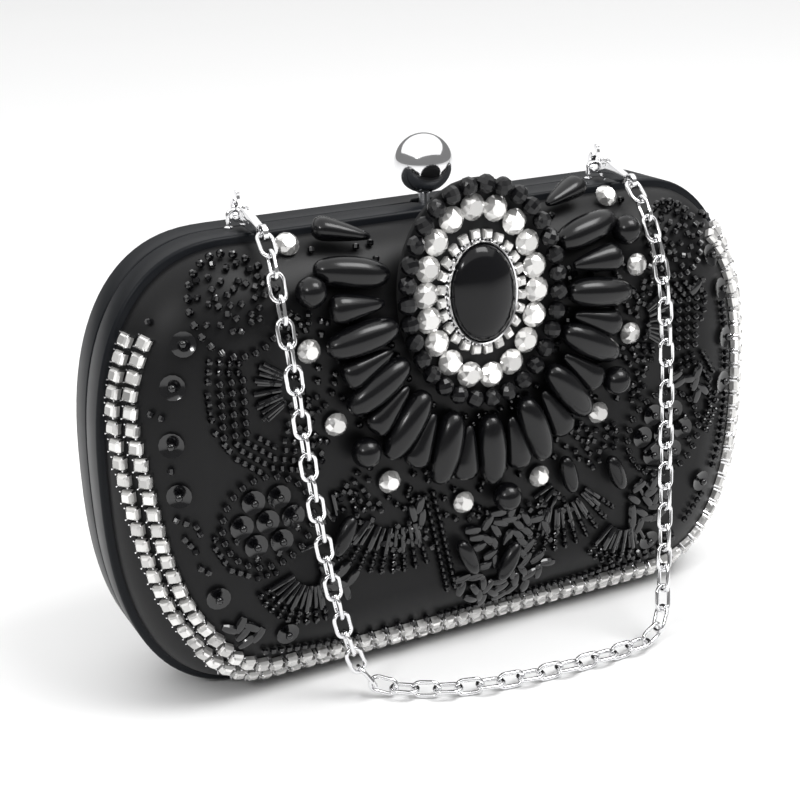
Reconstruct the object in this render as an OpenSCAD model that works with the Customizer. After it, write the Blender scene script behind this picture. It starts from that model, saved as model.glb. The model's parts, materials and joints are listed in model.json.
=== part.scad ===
// Hard-sided evening bag: two domed half shells in smooth frames, hinged along the bottom, with a ball
// clasp on top, an embroidered front panel round an oval medallion, and a chain strap on two spring clasps.
// The bag stands on its frames: +X is its width, the embroidered face looks towards -Y, +Z is up.

/* [Body] */
// Width of the closed bag
bag_w = 186; // [150:1:225]
// Height of the closed bag, without the ball
bag_h = 116; // [96:1:140]
// Depth of the front half, from the parting line to its flat face
front_d = 24.5; // [20:0.5:30]
// Depth of the back half, from the parting line to its flat face
back_d = 24.5; // [20:0.5:30]
// Width of each rounded end of the outline
corner_w = 37; // [30:1:45]
// Squareness of the rounded ends, where 2 is an ellipse
corner_power = 2.5; // [2:0.1:3.2]
// How far the rounded shoulder of a panel reaches in from the frame
shoulder_in = 20; // [14:1:24]
// Fullness of the shoulder, where 2 is a quarter ellipse
shoulder_power = 1.7; // [1.5:0.1:2.4]

/* [Frame and walls] */
// Depth of each frame band
band_d = 9.2; // [7.5:0.1:12]
// Wall of the frame band
band_t = 1.2; // [1:0.1:2]
// Thickness of the frame's inner flange
flange_t = 1.2; // [0.8:0.1:2]
// Step from the frame band in to the panel
groove_in = 2; // [1.5:0.1:3]
// Thickness of the covering fabric
cover_t = 0.45; // [0.3:0.05:0.8]
// Thickness of the moulded board under the fabric
shell_t = 1.6; // [1.2:0.1:2.4]
// Thickness of the lining
lining_t = 0.55; // [0.4:0.05:0.9]

/* [Hinge] */
// Length of the hinge along the bottom
hinge_len = 80; // [50:1:110]
// Radius of the hinge pin
hinge_pin_r = 0.8; // [0.6:0.05:0.9]
// Radius of the hinge knuckles
knuckle_r = 1.8; // [1.6:0.05:2]
// Number of knuckles
knuckles = 9; // [5:2:13]
// Thickness of the hinge leaves
leaf_t = 0.7; // [0.5:0.05:0.8]

/* [Clasp] */
// Diameter of the ball
ball_dia = 15; // [11:0.5:18]
// Gap between the frame and the ball
ball_gap = 2; // [1.4:0.1:4]
// Radius of the ball's stem
stem_r = 1.4; // [1:0.1:1.8]
// Radius of the lever's pivot pin
lever_pin_r = 0.9; // [0.7:0.05:1.1]
// Distance of the lever's pivot in front of the parting line
lever_back = 5.2; // [4.8:0.1:5.4]
// Depth of the lever's pivot below the top of the frame
lever_drop = 4.6; // [4.4:0.1:5.2]

/* [Strap] */
// Distance of each strap loop from the middle
loop_x = 51; // [40:1:60]
// Height of a strap loop's bar above the frame
loop_h = 4.2; // [3.8:0.1:5]
// Radius of a strap loop's wire
loop_r = 0.6; // [0.5:0.05:0.75]
// Inside half width of a strap loop
loop_half = 2.6; // [2.2:0.1:3.2]
// Length of a spring clasp, from the loop's bar to its tail eye
clasp_len = 16; // [13:0.5:18]
// Thickness of a spring clasp
clasp_t = 1.8; // [1.6:0.1:2.2]
// Outer length of a chain link
link_l = 7.9; // [7:0.1:9]
// Outer width of a chain link
link_w = 4.9; // [4.4:0.1:5.4]
// Diameter of the chain's wire
link_wire = 1.1; // [0.9:0.05:1.2]

/* [Medallion] */
// Length of the oval cabochon
cabochon_l = 25; // [20:0.5:30]
// Width of the oval cabochon
cabochon_w = 18; // [14:0.5:22]
// Height of the oval cabochon
cabochon_h = 6; // [4:0.5:7]
// Sideways tilt of the medallion
medallion_tilt = 6; // [0:1:12]
// Diameter of the large round stones
halo_dia = 6.1; // [5:0.1:6.2]
// Number of large round stones
halo_count = 18; // [14:1:18]
// Diameter of the collar beads
collar_dia = 4.5; // [3.5:0.1:4.6]
// Length of the long petal beads
petal_l = 17.5; // [13:0.5:18]
// Diameter of the long petal beads
petal_dia = 6.6; // [5:0.1:6.6]
// Number of petal beads, long and drop together
petal_count = 23; // [15:2:23]

/* [Trim] */
// Side of the square border stones
border_size = 3.3; // [2.6:0.1:3.6]
// Spacing of the border stones along their row
border_pitch = 4.1; // [3.9:0.1:5]
// Diameter of the round black beads
round_dia = 7.6; // [6:0.1:8]
// Diameter of the clear accent stones
accent_dia = 6; // [4:0.1:6.4]
// Diameter of the sequins
sequin_dia = 6; // [4:0.1:7]
// Diameter of the seed beads
seed_dia = 2; // [1.4:0.1:2.2]

/* [Hidden] */

$fn = 48;
fit_gap = 0.05;         // between pieces that seat on each other
run_gap = 0.1;          // between a pin and what turns on it
half_gap = 0.1;         // from the parting line to each half
backing_t = 1.4;        // stiff patch under the medallion
stone_h = 3;            // height of a large stone above its patch
corner_steps = 14;      // points on each quarter of the outline
shoulder_steps = 6;     // rings across a shoulder
mid_z = bag_h / 2;
straight = bag_w / 2 - corner_w;
bezel_t = 0.8;          // wall of the cabochon's bezel
bezel_h = 2.4;          // height of the cabochon's bezel
relief = max(backing_t + cabochon_h + 2 * fit_gap, round_dia + 0.2);   // how far the beadwork stands out
part_y = (front_d + relief - back_d) / 2;    // the parting line, so that the bag's own box is centred
hinge_z = 2.25;         // height of the hinge axis
hinge_relief = 2.6;     // half width of the channel that the frames leave for the hinge
slot_half = stem_r + 0.8;
lever_z = bag_h - lever_drop;
ball_z = bag_h + ball_gap + ball_dia / 2;
loop_in = 1.6;          // distance of the strap loops in front of the parting line
clasp_slope = 9.5;      // how steeply the spring clasps lie over the frame

// ---- Outline and panel surface

// A point on a quarter of the outline, at angle t from the side.
function corner_point(a, b, t) = [a * pow(cos(t), 2 / corner_power), b * pow(sin(t), 2 / corner_power)];

// The bag's outline seen from the front, moved in by an inset.
function outline(inset) =
    let (
        step = 90 / corner_steps,
        q = [for (i = [0:corner_steps]) corner_point(corner_w - inset, mid_z - inset, i * step)]
    )
    concat(
        [for (i = [0:corner_steps]) [straight + q[i].x, mid_z + q[i].y]],
        [for (i = [corner_steps:-1:0]) [-straight - q[i].x, mid_z + q[i].y]],
        [for (i = [1:corner_steps]) [-straight - q[i].x, mid_z - q[i].y]],
        [for (i = [corner_steps:-1:1]) [straight + q[i].x, mid_z - q[i].y]]
    );

// Inset and depth of a panel ring at angle t up its shoulder, moved inwards by k, for a half of that depth.
function panel_ring(t, k, depth) =
    let (
        rise = depth - band_d,
        across = pow(cos(t), 2 / shoulder_power),
        up = pow(sin(t), 2 / shoulder_power),
        side_pull = pow(across, shoulder_power - 1) / shoulder_in,
        face_pull = pow(up, shoulder_power - 1) / rise,
        pull = norm([side_pull, face_pull])
    )
    [
        groove_in + shoulder_in * (1 - across) + k * side_pull / pull,
        band_d + rise * up - k * face_pull / pull
    ];
function panel_rings(k, depth) = [for (i = [0:shoulder_steps]) panel_ring(i * 90 / shoulder_steps, k, depth)];

// How far in from the outline a point of the front view lies.
function outside(p, inset) =
    pow(max(0, abs(p.x) - straight) / (corner_w - inset), corner_power)
    + pow(abs(p.y - mid_z) / (mid_z - inset), corner_power) > 1;
function inset_of(p, low = 0, high = 36, steps = 16) =
    steps == 0 ? (low + high) / 2
    : outside(p, (low + high) / 2) ? inset_of(p, low, (low + high) / 2, steps - 1)
    : inset_of(p, (low + high) / 2, high, steps - 1);
function across_at(p) = max(0, min(1, 1 - (inset_of(p) - groove_in) / shoulder_in));
function panel_depth(p) =
    band_d + (front_d - band_d) * pow(1 - pow(across_at(p), shoulder_power), 1 / shoulder_power);

// Direction in the front view in which the shoulder falls away at a point, and how steeply it faces that way.
function fall_angle(p) =
    let (
        dx = max(0, abs(p.x) - straight) / corner_w,
        dz = abs(p.y - mid_z) / mid_z,
        gx = sign(p.x) * pow(dx, corner_power - 1) / corner_w,
        gz = sign(p.y - mid_z) * pow(dz, corner_power - 1) / mid_z
    )
    atan2(gz, gx);
function panel_tilt(p) =
    let (
        across = across_at(p),
        up = (panel_depth(p) - band_d) / (front_d - band_d),
        side_pull = pow(across, shoulder_power - 1) / shoulder_in,
        face_pull = pow(up, shoulder_power - 1) / (front_d - band_d)
    )
    across <= 0 ? 0 : atan2(side_pull, face_pull);

// Puts a piece on the front view at p, at a depth in front of the parting line, its top facing forwards.
module on_face(p, depth, spin = 0) {
    translate([p.x, part_y - depth, p.y]) rotate([90, 0, 0]) rotate([0, 0, spin]) children();
}

// Puts a piece on the front panel's curved surface at p, lifted off it.
module on_panel(p, lift = 0, spin = 0) {
    fall = fall_angle(p);
    on_face(p, panel_depth(p), fall)
        rotate([0, panel_tilt(p), 0])
        rotate([0, 0, spin - fall])
        translate([0, 0, lift])
        children();
}

// Turns a piece of the front half round into the back half.
module in_back() {
    translate([0, part_y, 0]) mirror([0, 1, 0]) translate([0, -part_y, 0]) children();
}

// A flat ring between two insets of the outline, from one depth to another.
module outline_ring(from, to, outer, inner) {
    translate([0, part_y - from, 0])
        rotate([90, 0, 0])
        linear_extrude(to - from)
        difference() {
            polygon(outline(outer));
            polygon(outline(inner));
        }
}

// A dished wall between an outer and an inner list of rings, each an inset and a depth.
module dished_wall(outer, inner) {
    rings = len(outer);
    n = 4 * corner_steps + 2;
    half = rings * n;
    points = [for (ring = concat(outer, inner)) for (p = outline(ring[0])) [p.x, part_y - ring[1], p.y]];
    faces = concat(
        [for (i = [0:rings - 2]) for (j = [0:n - 1])
            [i * n + j, (i + 1) * n + j, (i + 1) * n + (j + 1) % n, i * n + (j + 1) % n]],
        [for (i = [0:rings - 2]) for (j = [0:n - 1])
            [half + i * n + (j + 1) % n, half + (i + 1) * n + (j + 1) % n,
             half + (i + 1) * n + j, half + i * n + j]],
        [for (j = [0:n - 1]) [j, (j + 1) % n, half + (j + 1) % n, half + j]],
        [[for (j = [n - 1:-1:0]) half - n + j]],
        [[for (j = [0:n - 1]) 2 * half - n + j]]
    );
    polyhedron(points, faces);
}

// ---- Frames, shells, covers and linings

lining_k = cover_t + shell_t + 3 * fit_gap;
flange_inset = groove_in + cover_t + shell_t + 2 * fit_gap;

module frame(stem_clearance) {
    difference() {
        union() {
            outline_ring(half_gap, band_d, 0, band_t);
            outline_ring(band_d - flange_t, band_d, band_t / 2, flange_inset);
        }
        translate([-bag_w / 2, part_y - hinge_relief, -1])
            cube([bag_w, 2 * hinge_relief, hinge_z + knuckle_r + 1.35]);
        translate([-slot_half, part_y - stem_clearance, bag_h - band_t - 1])
            cube([2 * slot_half, stem_clearance, band_t + 2]);
    }
}
module panel_shell(depth) {
    dished_wall(panel_rings(cover_t + fit_gap, depth), panel_rings(cover_t + fit_gap + shell_t, depth));
}
module panel_cover(depth) {
    dished_wall(panel_rings(0, depth), panel_rings(cover_t, depth));
}
module panel_lining(depth) {
    rim = band_d - flange_t;
    dished_wall(
        concat([[groove_in + lining_k, rim]], panel_rings(lining_k, depth)),
        concat([[groove_in + lining_k + lining_t, rim]], panel_rings(lining_k + lining_t, depth))
    );
}

module front_frame() {
    color("#25282b")
        difference() {
            frame(stem_r + 0.6);
            for (side = [-1, 1], leg = [-1, 1])
                translate([side * loop_x + leg * loop_half, part_y - loop_in, bag_h - band_t - 1])
                    cylinder(r = loop_r + fit_gap, h = band_t + 2);
        }
}
module front_shell() { color("#6b6257") panel_shell(front_d); }
module front_cover() { color("#1c1d20") panel_cover(front_d); }
module front_lining() { color("#141416") panel_lining(front_d); }
module back_frame() { color("#25282b") in_back() frame(stem_r + 1.8); }
module back_shell() { color("#6b6257") in_back() panel_shell(back_d); }
module back_cover() { color("#1c1d20") in_back() panel_cover(back_d); }
module back_lining() { color("#141416") in_back() panel_lining(back_d); }

// ---- Hinge

knuckle_l = hinge_len / knuckles;
module hinge_leaf(first) {
    leaf_z = band_t + fit_gap;
    difference() {
        union() {
            translate([-hinge_len / 2, part_y - band_d + flange_t + 0.2, leaf_z])
                cube([hinge_len, band_d - flange_t - 0.2 - knuckle_r - 0.4, leaf_t]);
            for (i = [first:2:knuckles - 1]) {
                translate([-hinge_len / 2 + i * knuckle_l + run_gap, part_y, hinge_z])
                    rotate([0, 90, 0])
                    cylinder(r = knuckle_r, h = knuckle_l - 2 * run_gap);
                translate([-hinge_len / 2 + i * knuckle_l + run_gap, part_y - knuckle_r - 1, leaf_z])
                    cube([knuckle_l - 2 * run_gap, knuckle_r + 1, leaf_t]);
            }
        }
        translate([-hinge_len / 2 - 1, part_y, hinge_z])
            rotate([0, 90, 0])
            cylinder(r = hinge_pin_r + fit_gap, h = hinge_len + 2);
    }
}
module front_hinge_leaf() { color("#8f9296") hinge_leaf(0); }
module back_hinge_leaf() { color("#8f9296") in_back() hinge_leaf(1); }
module hinge_pin() {
    color("#a8abaf")
        translate([-hinge_len / 2 - 0.6, part_y, hinge_z])
        rotate([0, 90, 0])
        cylinder(r = hinge_pin_r, h = hinge_len + 1.2);
}

// ---- Ball clasp

arm_t = 1.4;            // thickness of the lever's arm
arm_top = lever_z + arm_t / 2;
arm_reach = 4.6;        // how far the lever's nose reaches behind the parting line
hub_r = 2;
hub_w = 4.6;
ear_x = 5.4;            // inner face of the bracket's ears
ear_t = 1.2;
plate_t = 0.8;
module lever_axis(length) {
    translate([-length / 2, part_y - lever_back, lever_z]) rotate([0, 90, 0]) children();
}
module clasp_lever() {
    color("#b9bcc0")
        difference() {
            union() {
                lever_axis(hub_w) cylinder(r = hub_r, h = hub_w);
                translate([-2, part_y - lever_back - 2.3, lever_z - arm_t / 2])
                    cube([4, lever_back + 2.3 + arm_reach, arm_t]);
                translate([0, part_y, lever_z]) cylinder(r = stem_r, h = ball_z - lever_z - ball_dia / 2 + 3);
            }
            lever_axis(hub_w + 2) cylinder(r = lever_pin_r + run_gap, h = hub_w + 2);
        }
}
module clasp_ball() {
    color("#d9dadc")
        difference() {
            translate([0, part_y, ball_z]) sphere(d = ball_dia);
            translate([0, part_y, ball_z - ball_dia])
                cylinder(r = stem_r + fit_gap, h = ball_dia / 2 + 3 + fit_gap);
        }
}
module clasp_pin() {
    length = 2 * (ear_x + ear_t) + 0.4;
    color("#a8abaf") lever_axis(length) cylinder(r = lever_pin_r, h = length);
}
module clasp_bracket() {
    plate_top = bag_h - band_t - fit_gap;
    half = ear_x + ear_t;
    color("#8f9296")
        difference() {
            union() {
                translate([-half, part_y - 7.7, plate_top - plate_t]) cube([2 * half, 4.8, plate_t]);
                for (side = [-1, 1])
                    translate([side * (ear_x + ear_t / 2) - ear_t / 2, part_y - 7.7, lever_z - hub_r])
                        cube([ear_t, 4.8, plate_top - lever_z + hub_r]);
            }
            lever_axis(2 * half + 2) cylinder(r = lever_pin_r + fit_gap / 2, h = 2 * half + 2);
        }
}
module clasp_spring() {
    plate_bottom = bag_h - band_t - plate_t - 2 * fit_gap;
    color("#77797c")
        translate([-1.6, part_y - 7.6, plate_bottom - 0.3]) {
            cube([3.2, 4.4, 0.3]);
            translate([0, 0, -0.35]) cube([3.2, 0.5, 0.5]);
        }
}
module catch_plate() {
    plate_top = bag_h - band_t - fit_gap;
    lip_bottom = arm_top + 0.35;
    color("#8f9296")
        in_back() {
            translate([-5, part_y - 7.4, plate_top - plate_t]) cube([10, 3.8, plate_t]);
            translate([-5, part_y - 4.6, lip_bottom]) cube([10, 1, plate_top - lip_bottom]);
        }
}

// ---- Strap loops and spring clasps

module strap_loop(side) {
    bend = 1.2;
    foot_top = bag_h - band_t - fit_gap;
    color("#cfd1d3")
        translate([side * loop_x, part_y - loop_in, 0]) {
            for (leg = [-1, 1]) {
                translate([leg * loop_half, 0, foot_top - 0.6]) cylinder(r = 2 * loop_r, h = 0.6);
                translate([leg * loop_half, 0, foot_top - 0.3])
                    cylinder(r = loop_r, h = bag_h + loop_h - bend - foot_top + 0.3);
                translate([leg * (loop_half - bend), 0, bag_h + loop_h - bend])
                    rotate([90, 0, 0])
                    rotate([0, 0, leg > 0 ? 0 : 90])
                    rotate_extrude(angle = 90)
                    translate([bend, 0])
                    circle(r = loop_r);
            }
            translate([bend - loop_half, 0, bag_h + loop_h])
                rotate([0, 90, 0])
                cylinder(r = loop_r, h = 2 * (loop_half - bend));
        }
}
module strap_loop_left() { strap_loop(-1); }
module strap_loop_right() { strap_loop(1); }

hook_r = 1.8;           // inside of the spring clasp's hook
hook_out = 2.9;
pivot = [5, 0.9];       // the trigger's rivet, along and across the clasp
rivet_r = 0.45;
slot_t = 1;             // the slot that the trigger turns in
trigger_t = 0.8;
// Lies along a spring clasp: X towards its tail, Y away from the frame, Z across.
module along_clasp(side) {
    translate([side * loop_x, part_y - loop_in, bag_h + loop_h])
        rotate([clasp_slope, 0, 0])
        rotate([90, 0, -90])
        children();
}
// The part of the plane between two directions, as a wedge out to a radius.
module wedge(from, to, radius) {
    step = (to - from) / 4;
    polygon(concat([[0, 0]], [for (i = [0:4]) radius * [cos(from + i * step), sin(from + i * step)]]));
}
module strap_clasp(side) {
    color("#d3d4d6")
        along_clasp(side)
        difference() {
            union() {
                translate([0, 0, -clasp_t / 2])
                    linear_extrude(clasp_t)
                    difference() {
                        union() {
                            circle(r = hook_out);
                            polygon([
                                [2, -2.05], [4.5, -2.15], [8, -1.9], [clasp_len - 1.8, -1.1],
                                [clasp_len - 1.8, 1.1], [8, 1.9], [6.4, 2.2], [3.7, 2.1], [2.4, 0.2]
                            ]);
                        }
                        circle(r = hook_r);
                        wedge(40, 128, 6);
                    }
                translate([clasp_len, 0, -0.6]) cylinder(r = 2.1, h = 1.2);
            }
            translate([clasp_len, 0, -2]) cylinder(r = 1.05, h = 4);
            translate([1.2, -0.5, -slot_t / 2]) cube([5.2, 5, slot_t]);
            translate([pivot.x, pivot.y, -2]) cylinder(r = rivet_r + fit_gap / 2, h = 4);
        }
}
module clasp_trigger(side) {
    color("#c3c5c8")
        along_clasp(side)
        translate([0, 0, -trigger_t / 2])
        linear_extrude(trigger_t)
        difference() {
            union() {
                difference() {
                    intersection() {
                        circle(r = 2.6);
                        wedge(42, 98, 4);
                    }
                    circle(r = hook_r + fit_gap);
                }
                polygon([[1.45, 1.35], [pivot.x, pivot.y - 1], [pivot.x, pivot.y + 1], [1.8, 1.8]]);
                polygon([[0.1, 2.2], [1.1, 2.1], [0, 4.2], [-1.2, 3.8]]);
                translate([-0.6, 4]) circle(r = 0.8);
                translate(pivot) circle(r = 1.1);
            }
            translate(pivot) circle(r = rivet_r + run_gap / 2);
        }
}
module clasp_rivet(side) {
    color("#a8abaf")
        along_clasp(side)
        translate([pivot.x, pivot.y, -clasp_t / 2])
        cylinder(r = rivet_r, h = clasp_t);
}
module strap_clasp_left() { strap_clasp(-1); }
module strap_clasp_right() { strap_clasp(1); }
module clasp_trigger_left() { clasp_trigger(-1); }
module clasp_trigger_right() { clasp_trigger(1); }
module clasp_rivet_left() { clasp_rivet(-1); }
module clasp_rivet_right() { clasp_rivet(1); }

// ---- Chain

// Where the chain hooks into each clasp's tail eye.
eye_y = part_y - loop_in - clasp_len * cos(clasp_slope);
eye_z = bag_h + loop_h - clasp_len * sin(clasp_slope);
// The chain's route from the left clasp, down in front of the face, along the surface that the bag
// stands on, and up to the right clasp. Depths are in front of the parting line.
route = [
    [-51.4, 21.6, 114.2], [-51.8, 25.5, 109], [-52, 29, 101], [-51.6, 31, 92], [-50.8, 32, 82],
    [-49.8, 32.5, 70], [-48.4, 32.5, 58], [-46.8, 32.5, 46], [-44.6, 32.5, 32], [-42, 32.5, 19],
    [-39, 33, 9], [-35.5, 34.5, 3.6], [-30, 38, 2.6], [-22, 43, 2.6], [-12, 46.5, 2.6],
    [0, 48.5, 2.6], [12, 49.5, 2.6], [24, 49.5, 2.6], [34, 49, 2.6], [40, 48, 3.4],
    [43.4, 46.4, 7.5], [45.2, 44, 15], [47, 41.5, 26], [49, 38.5, 40], [50.6, 36, 54],
    [51.8, 34, 68], [52.2, 32.5, 82], [52, 31.5, 92], [51.6, 29.5, 101], [51.2, 25.5, 109],
    [51, 21.6, 114.2]
];
route_points = concat(
    [[-loop_x, eye_y, eye_z]],
    [for (p = route) [p[0], part_y - p[1], p[2]]],
    [[loop_x, eye_y, eye_z]]
);
// A smooth curve through the route's points, a few steps to each stretch.
function smooth_at(a, b, c, d, t) =
    b + t * (c - a) / 2 + t * t * (2 * a - 5 * b + 4 * c - d) / 2 + t * t * t * (3 * b - a - 3 * c + d) / 2;
smooth_steps = 6;
last_point = len(route_points) - 1;
curve = concat(
    [for (i = [0:last_point - 1], s = [0:smooth_steps - 1])
        smooth_at(
            route_points[max(0, i - 1)], route_points[i], route_points[i + 1],
            route_points[min(last_point, i + 2)], s / smooth_steps
        )],
    [route_points[last_point]]
);
// Running length at each point of a path.
function lengths(path, i = 0, sum = 0, out = []) =
    i == len(path) ? out
    : let (now = i == 0 ? 0 : sum + norm(path[i] - path[i - 1]))
      lengths(path, i + 1, now, concat(out, [now]));
curve_lengths = lengths(curve);
chain_len = curve_lengths[len(curve) - 1];
// The place at a length along a path, found by halving.
function at_length(path, sums, s, low, high) =
    high - low <= 1
        ? path[low] + (path[high] - path[low]) * (s - sums[low]) / max(0.001, sums[high] - sums[low])
        : let (middle = floor((low + high) / 2))
          s < sums[middle] ? at_length(path, sums, s, low, middle) : at_length(path, sums, s, middle, high);
function chain_at(s) = at_length(curve, curve_lengths, min(max(s, 0), chain_len), 0, len(curve) - 1);

end_reach = (link_l - link_wire) / 2;
wanted_pitch = link_l - 2 * link_wire - 0.2;
link_count = 1 + 2 * ceil((chain_len - 2 * end_reach) / wanted_pitch / 2);
link_pitch = (chain_len - 2 * end_reach) / (link_count - 1);
function link_start(i) = i * link_pitch;
left_links = round(link_count * 0.36);
right_links = round(link_count * 0.37);

module link() {
    straight_l = link_l - link_w;
    bend = (link_w - link_wire) / 2;
    for (end = [0, 1])
        rotate([0, 0, 180 * end])
            translate([0, straight_l / 2, 0])
            rotate_extrude(angle = 180)
            translate([bend, 0])
            circle(d = link_wire);
    for (side = [-1, 1])
        translate([side * bend, straight_l / 2, 0])
            rotate([90, 0, 0])
            cylinder(d = link_wire, h = straight_l);
}
// One link, its length along the chain, turned a quarter from the link before.
module placed_link(i) {
    from = chain_at(link_start(i));
    to = chain_at(link_start(i) + 2 * end_reach);
    run = (to - from) / norm(to - from);
    even = cross(run, [0, 1, 0]) / norm(cross(run, [0, 1, 0]));
    wide = i % 2 == 0 ? even : cross(run, even);
    thin = cross(wide, run);
    middle = (from + to) / 2;
    multmatrix([
        [wide.x, run.x, thin.x, middle.x],
        [wide.y, run.y, thin.y, middle.y],
        [wide.z, run.z, thin.z, middle.z]
    ])
        link();
}
module links(from, to) {
    color("#d3d4d6")
        for (i = [from:to])
            placed_link(i);
}
module strap_chain_left() { links(0, left_links - 1); }
module strap_chain_floor() { links(left_links, link_count - right_links - 1); }
module strap_chain_right() { links(link_count - right_links, link_count - 1); }

// ---- Medallion

medallion = [1.2, bag_h - 18.3];      // its centre on the face
backing_depth = front_d + fit_gap;
setting_depth = backing_depth + backing_t;
halo_radii = [cabochon_w / 2 + 6.4, cabochon_l / 2 + 9.1];
inner_radii = [cabochon_w / 2 + 2.2, cabochon_l / 2 + 2.2];
collar_radii = halo_radii + [5.6, 5.5];
petal_radii = halo_radii + [18.1, 19.4];
// A point of an oval, with the points for even angles evenly spaced round it.
function oval(radii, angle) =
    let (
        lean = (radii.y - radii.x) / (radii.y + radii.x) / 2 * 180 / PI,
        t = angle - lean * sin(2 * angle)
    )
    [radii.x * cos(t), radii.y * sin(t)];
function tilted(p) = [
    p.x * cos(medallion_tilt) - p.y * sin(medallion_tilt),
    p.x * sin(medallion_tilt) + p.y * cos(medallion_tilt)
];
function on_medallion(p) = medallion + tilted(p);
module oval_plate(radii, height) {
    linear_extrude(height) polygon([for (i = [0:39]) oval(radii, i * 9)]);
}
module medallion_backing() {
    color("#101012")
        on_face(medallion, backing_depth, medallion_tilt)
        oval_plate(collar_radii + [1.2, 1.2], backing_t);
}
module cabochon_bezel() {
    size = [cabochon_w / 2, cabochon_l / 2];
    color("#c9c6bf")
        on_face(medallion, setting_depth, medallion_tilt)
        difference() {
            oval_plate(size + [bezel_t, bezel_t], bezel_h);
            translate([0, 0, -1]) oval_plate(size + [fit_gap, fit_gap], bezel_h + 2);
        }
}
module cabochon() {
    n = 32;
    // Scale and height of each ring: a short straight girdle, then the dome.
    rings = concat(
        [[1, 0]],
        [for (i = [0:6]) [cos(i * 14), cabochon_h * (0.3 + 0.7 * sin(i * 14))]]
    );
    points = [for (ring = rings, j = [0:n - 1])
        [cabochon_w / 2 * ring[0] * cos(j * 360 / n), cabochon_l / 2 * ring[0] * sin(j * 360 / n), ring[1]]];
    last = len(rings) - 1;
    faces = concat(
        [[for (j = [0:n - 1]) j]],
        [for (i = [0:last - 1], j = [0:n - 1])
            [i * n + j, (i + 1) * n + j, (i + 1) * n + (j + 1) % n, i * n + (j + 1) % n]],
        [[for (j = [n - 1:-1:0]) last * n + j]]
    );
    color("#08080a")
        on_face(medallion, setting_depth + fit_gap, medallion_tilt)
        polyhedron(points, faces);
}
// A faceted stone: a short cone below, a band, and a table on top.
module cut_stone(dia, height) {
    cylinder(d1 = dia * 0.6, d2 = dia, h = height * 0.5);
    translate([0, 0, height * 0.5]) cylinder(d = dia, h = height * 0.2);
    translate([0, 0, height * 0.7]) cylinder(d1 = dia, d2 = dia * 0.62, h = height * 0.3);
}
module halo_stones_outer() {
    color("#f1efea")
        for (i = [0:halo_count - 1])
            on_face(on_medallion(oval(halo_radii, (i + 0.5) * 360 / halo_count)), setting_depth + fit_gap)
                cut_stone(halo_dia, stone_h);
}
module halo_stones_inner() {
    count = 24;
    size = 1.9;
    color("#f1efea")
        for (i = [0:count - 1]) {
            angle = i * 360 / count;
            on_face(on_medallion(oval(inner_radii, angle)), setting_depth + fit_gap, angle)
                translate([-size / 2, -size / 2, 0])
                cube([size, size, 2]);
        }
}
module collar_beads() {
    count = 31;
    depth = setting_depth + fit_gap + collar_dia / 2;
    color("#0d0d0f")
        for (i = [0:count - 1])
            on_face(on_medallion(oval(collar_radii, i * 360 / count)), depth)
                sphere(d = collar_dia);
}

// ---- Petal beads

petal_from = 153;       // angle of the first petal, and how far round the fan runs
petal_turn = 225;
function petal_angle(i) = petal_from + i * petal_turn / (petal_count - 1);
// A bead turned about its length: radii at even steps from end to end.
module turned_bead(length, dia, fullness) {
    steps = 8;
    side = [for (i = [1:steps - 1])
        [dia / 2 * pow(sin(i * 180 / steps), fullness), length * (i / steps - 0.5)]];
    rotate([0, 90, 0])
        rotate_extrude()
        polygon(concat([[0, -length / 2]], side, [[0, length / 2]]));
}
module drop_bead(length, dia) {
    rotate([0, 90, 0])
        rotate_extrude()
        polygon([
            [0, -length / 2], [dia * 0.16, -length * 0.44], [dia * 0.28, -length * 0.2],
            [dia * 0.42, length * 0.08], [dia / 2, length * 0.28], [dia * 0.42, length * 0.4],
            [dia * 0.2, length * 0.48], [0, length / 2]
        ]);
}
module petal_row(first) {
    for (i = [first:2:petal_count - 1]) {
        p = tilted(oval(petal_radii, petal_angle(i)));
        on_panel(medallion + p, petal_dia / 2 + 0.3, atan2(p.y, p.x)) children();
    }
}
module petal_beads_long() { color("#0b0b0d") petal_row(1) turned_bead(petal_l, petal_dia, 0.7); }
module petal_beads_drop() { color("#0b0b0d") petal_row(0) drop_bead(petal_l * 0.76, petal_dia * 0.86); }

// ---- Round beads, accents and border stones

function both_sides(points) = concat(points, [for (p = points) [-p.x, p.y]]);
// Angles round the medallion of the beads and stones that stand outside the petals.
round_angles = [169, 217, 270, 320, 363];
accent_angles = [158, 183, 206, 231, 257, 283, 309, 334, 354, 371.5];
round_radii = petal_radii + [11, 14];
accent_radii = petal_radii + [13, 14.5];
module round_beads() {
    color("#0b0b0d")
        for (angle = round_angles)
            on_panel(on_medallion(oval(round_radii, angle)), round_dia / 2 + 0.2) sphere(d = round_dia);
}
module accent_stones() {
    color("#f1efea")
        for (angle = accent_angles)
            on_panel(on_medallion(oval(accent_radii, angle)), 0.4) cut_stone(accent_dia, stone_h);
}
// The border runs down the left side, along the bottom and up the right side.
border_top_left = bag_h - 19;
border_top_right = bag_h - 14.5;
border_sag = 6;         // how far the left side of the border swings in above the lower corner
function share(value) = min(1, max(0, value));
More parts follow.
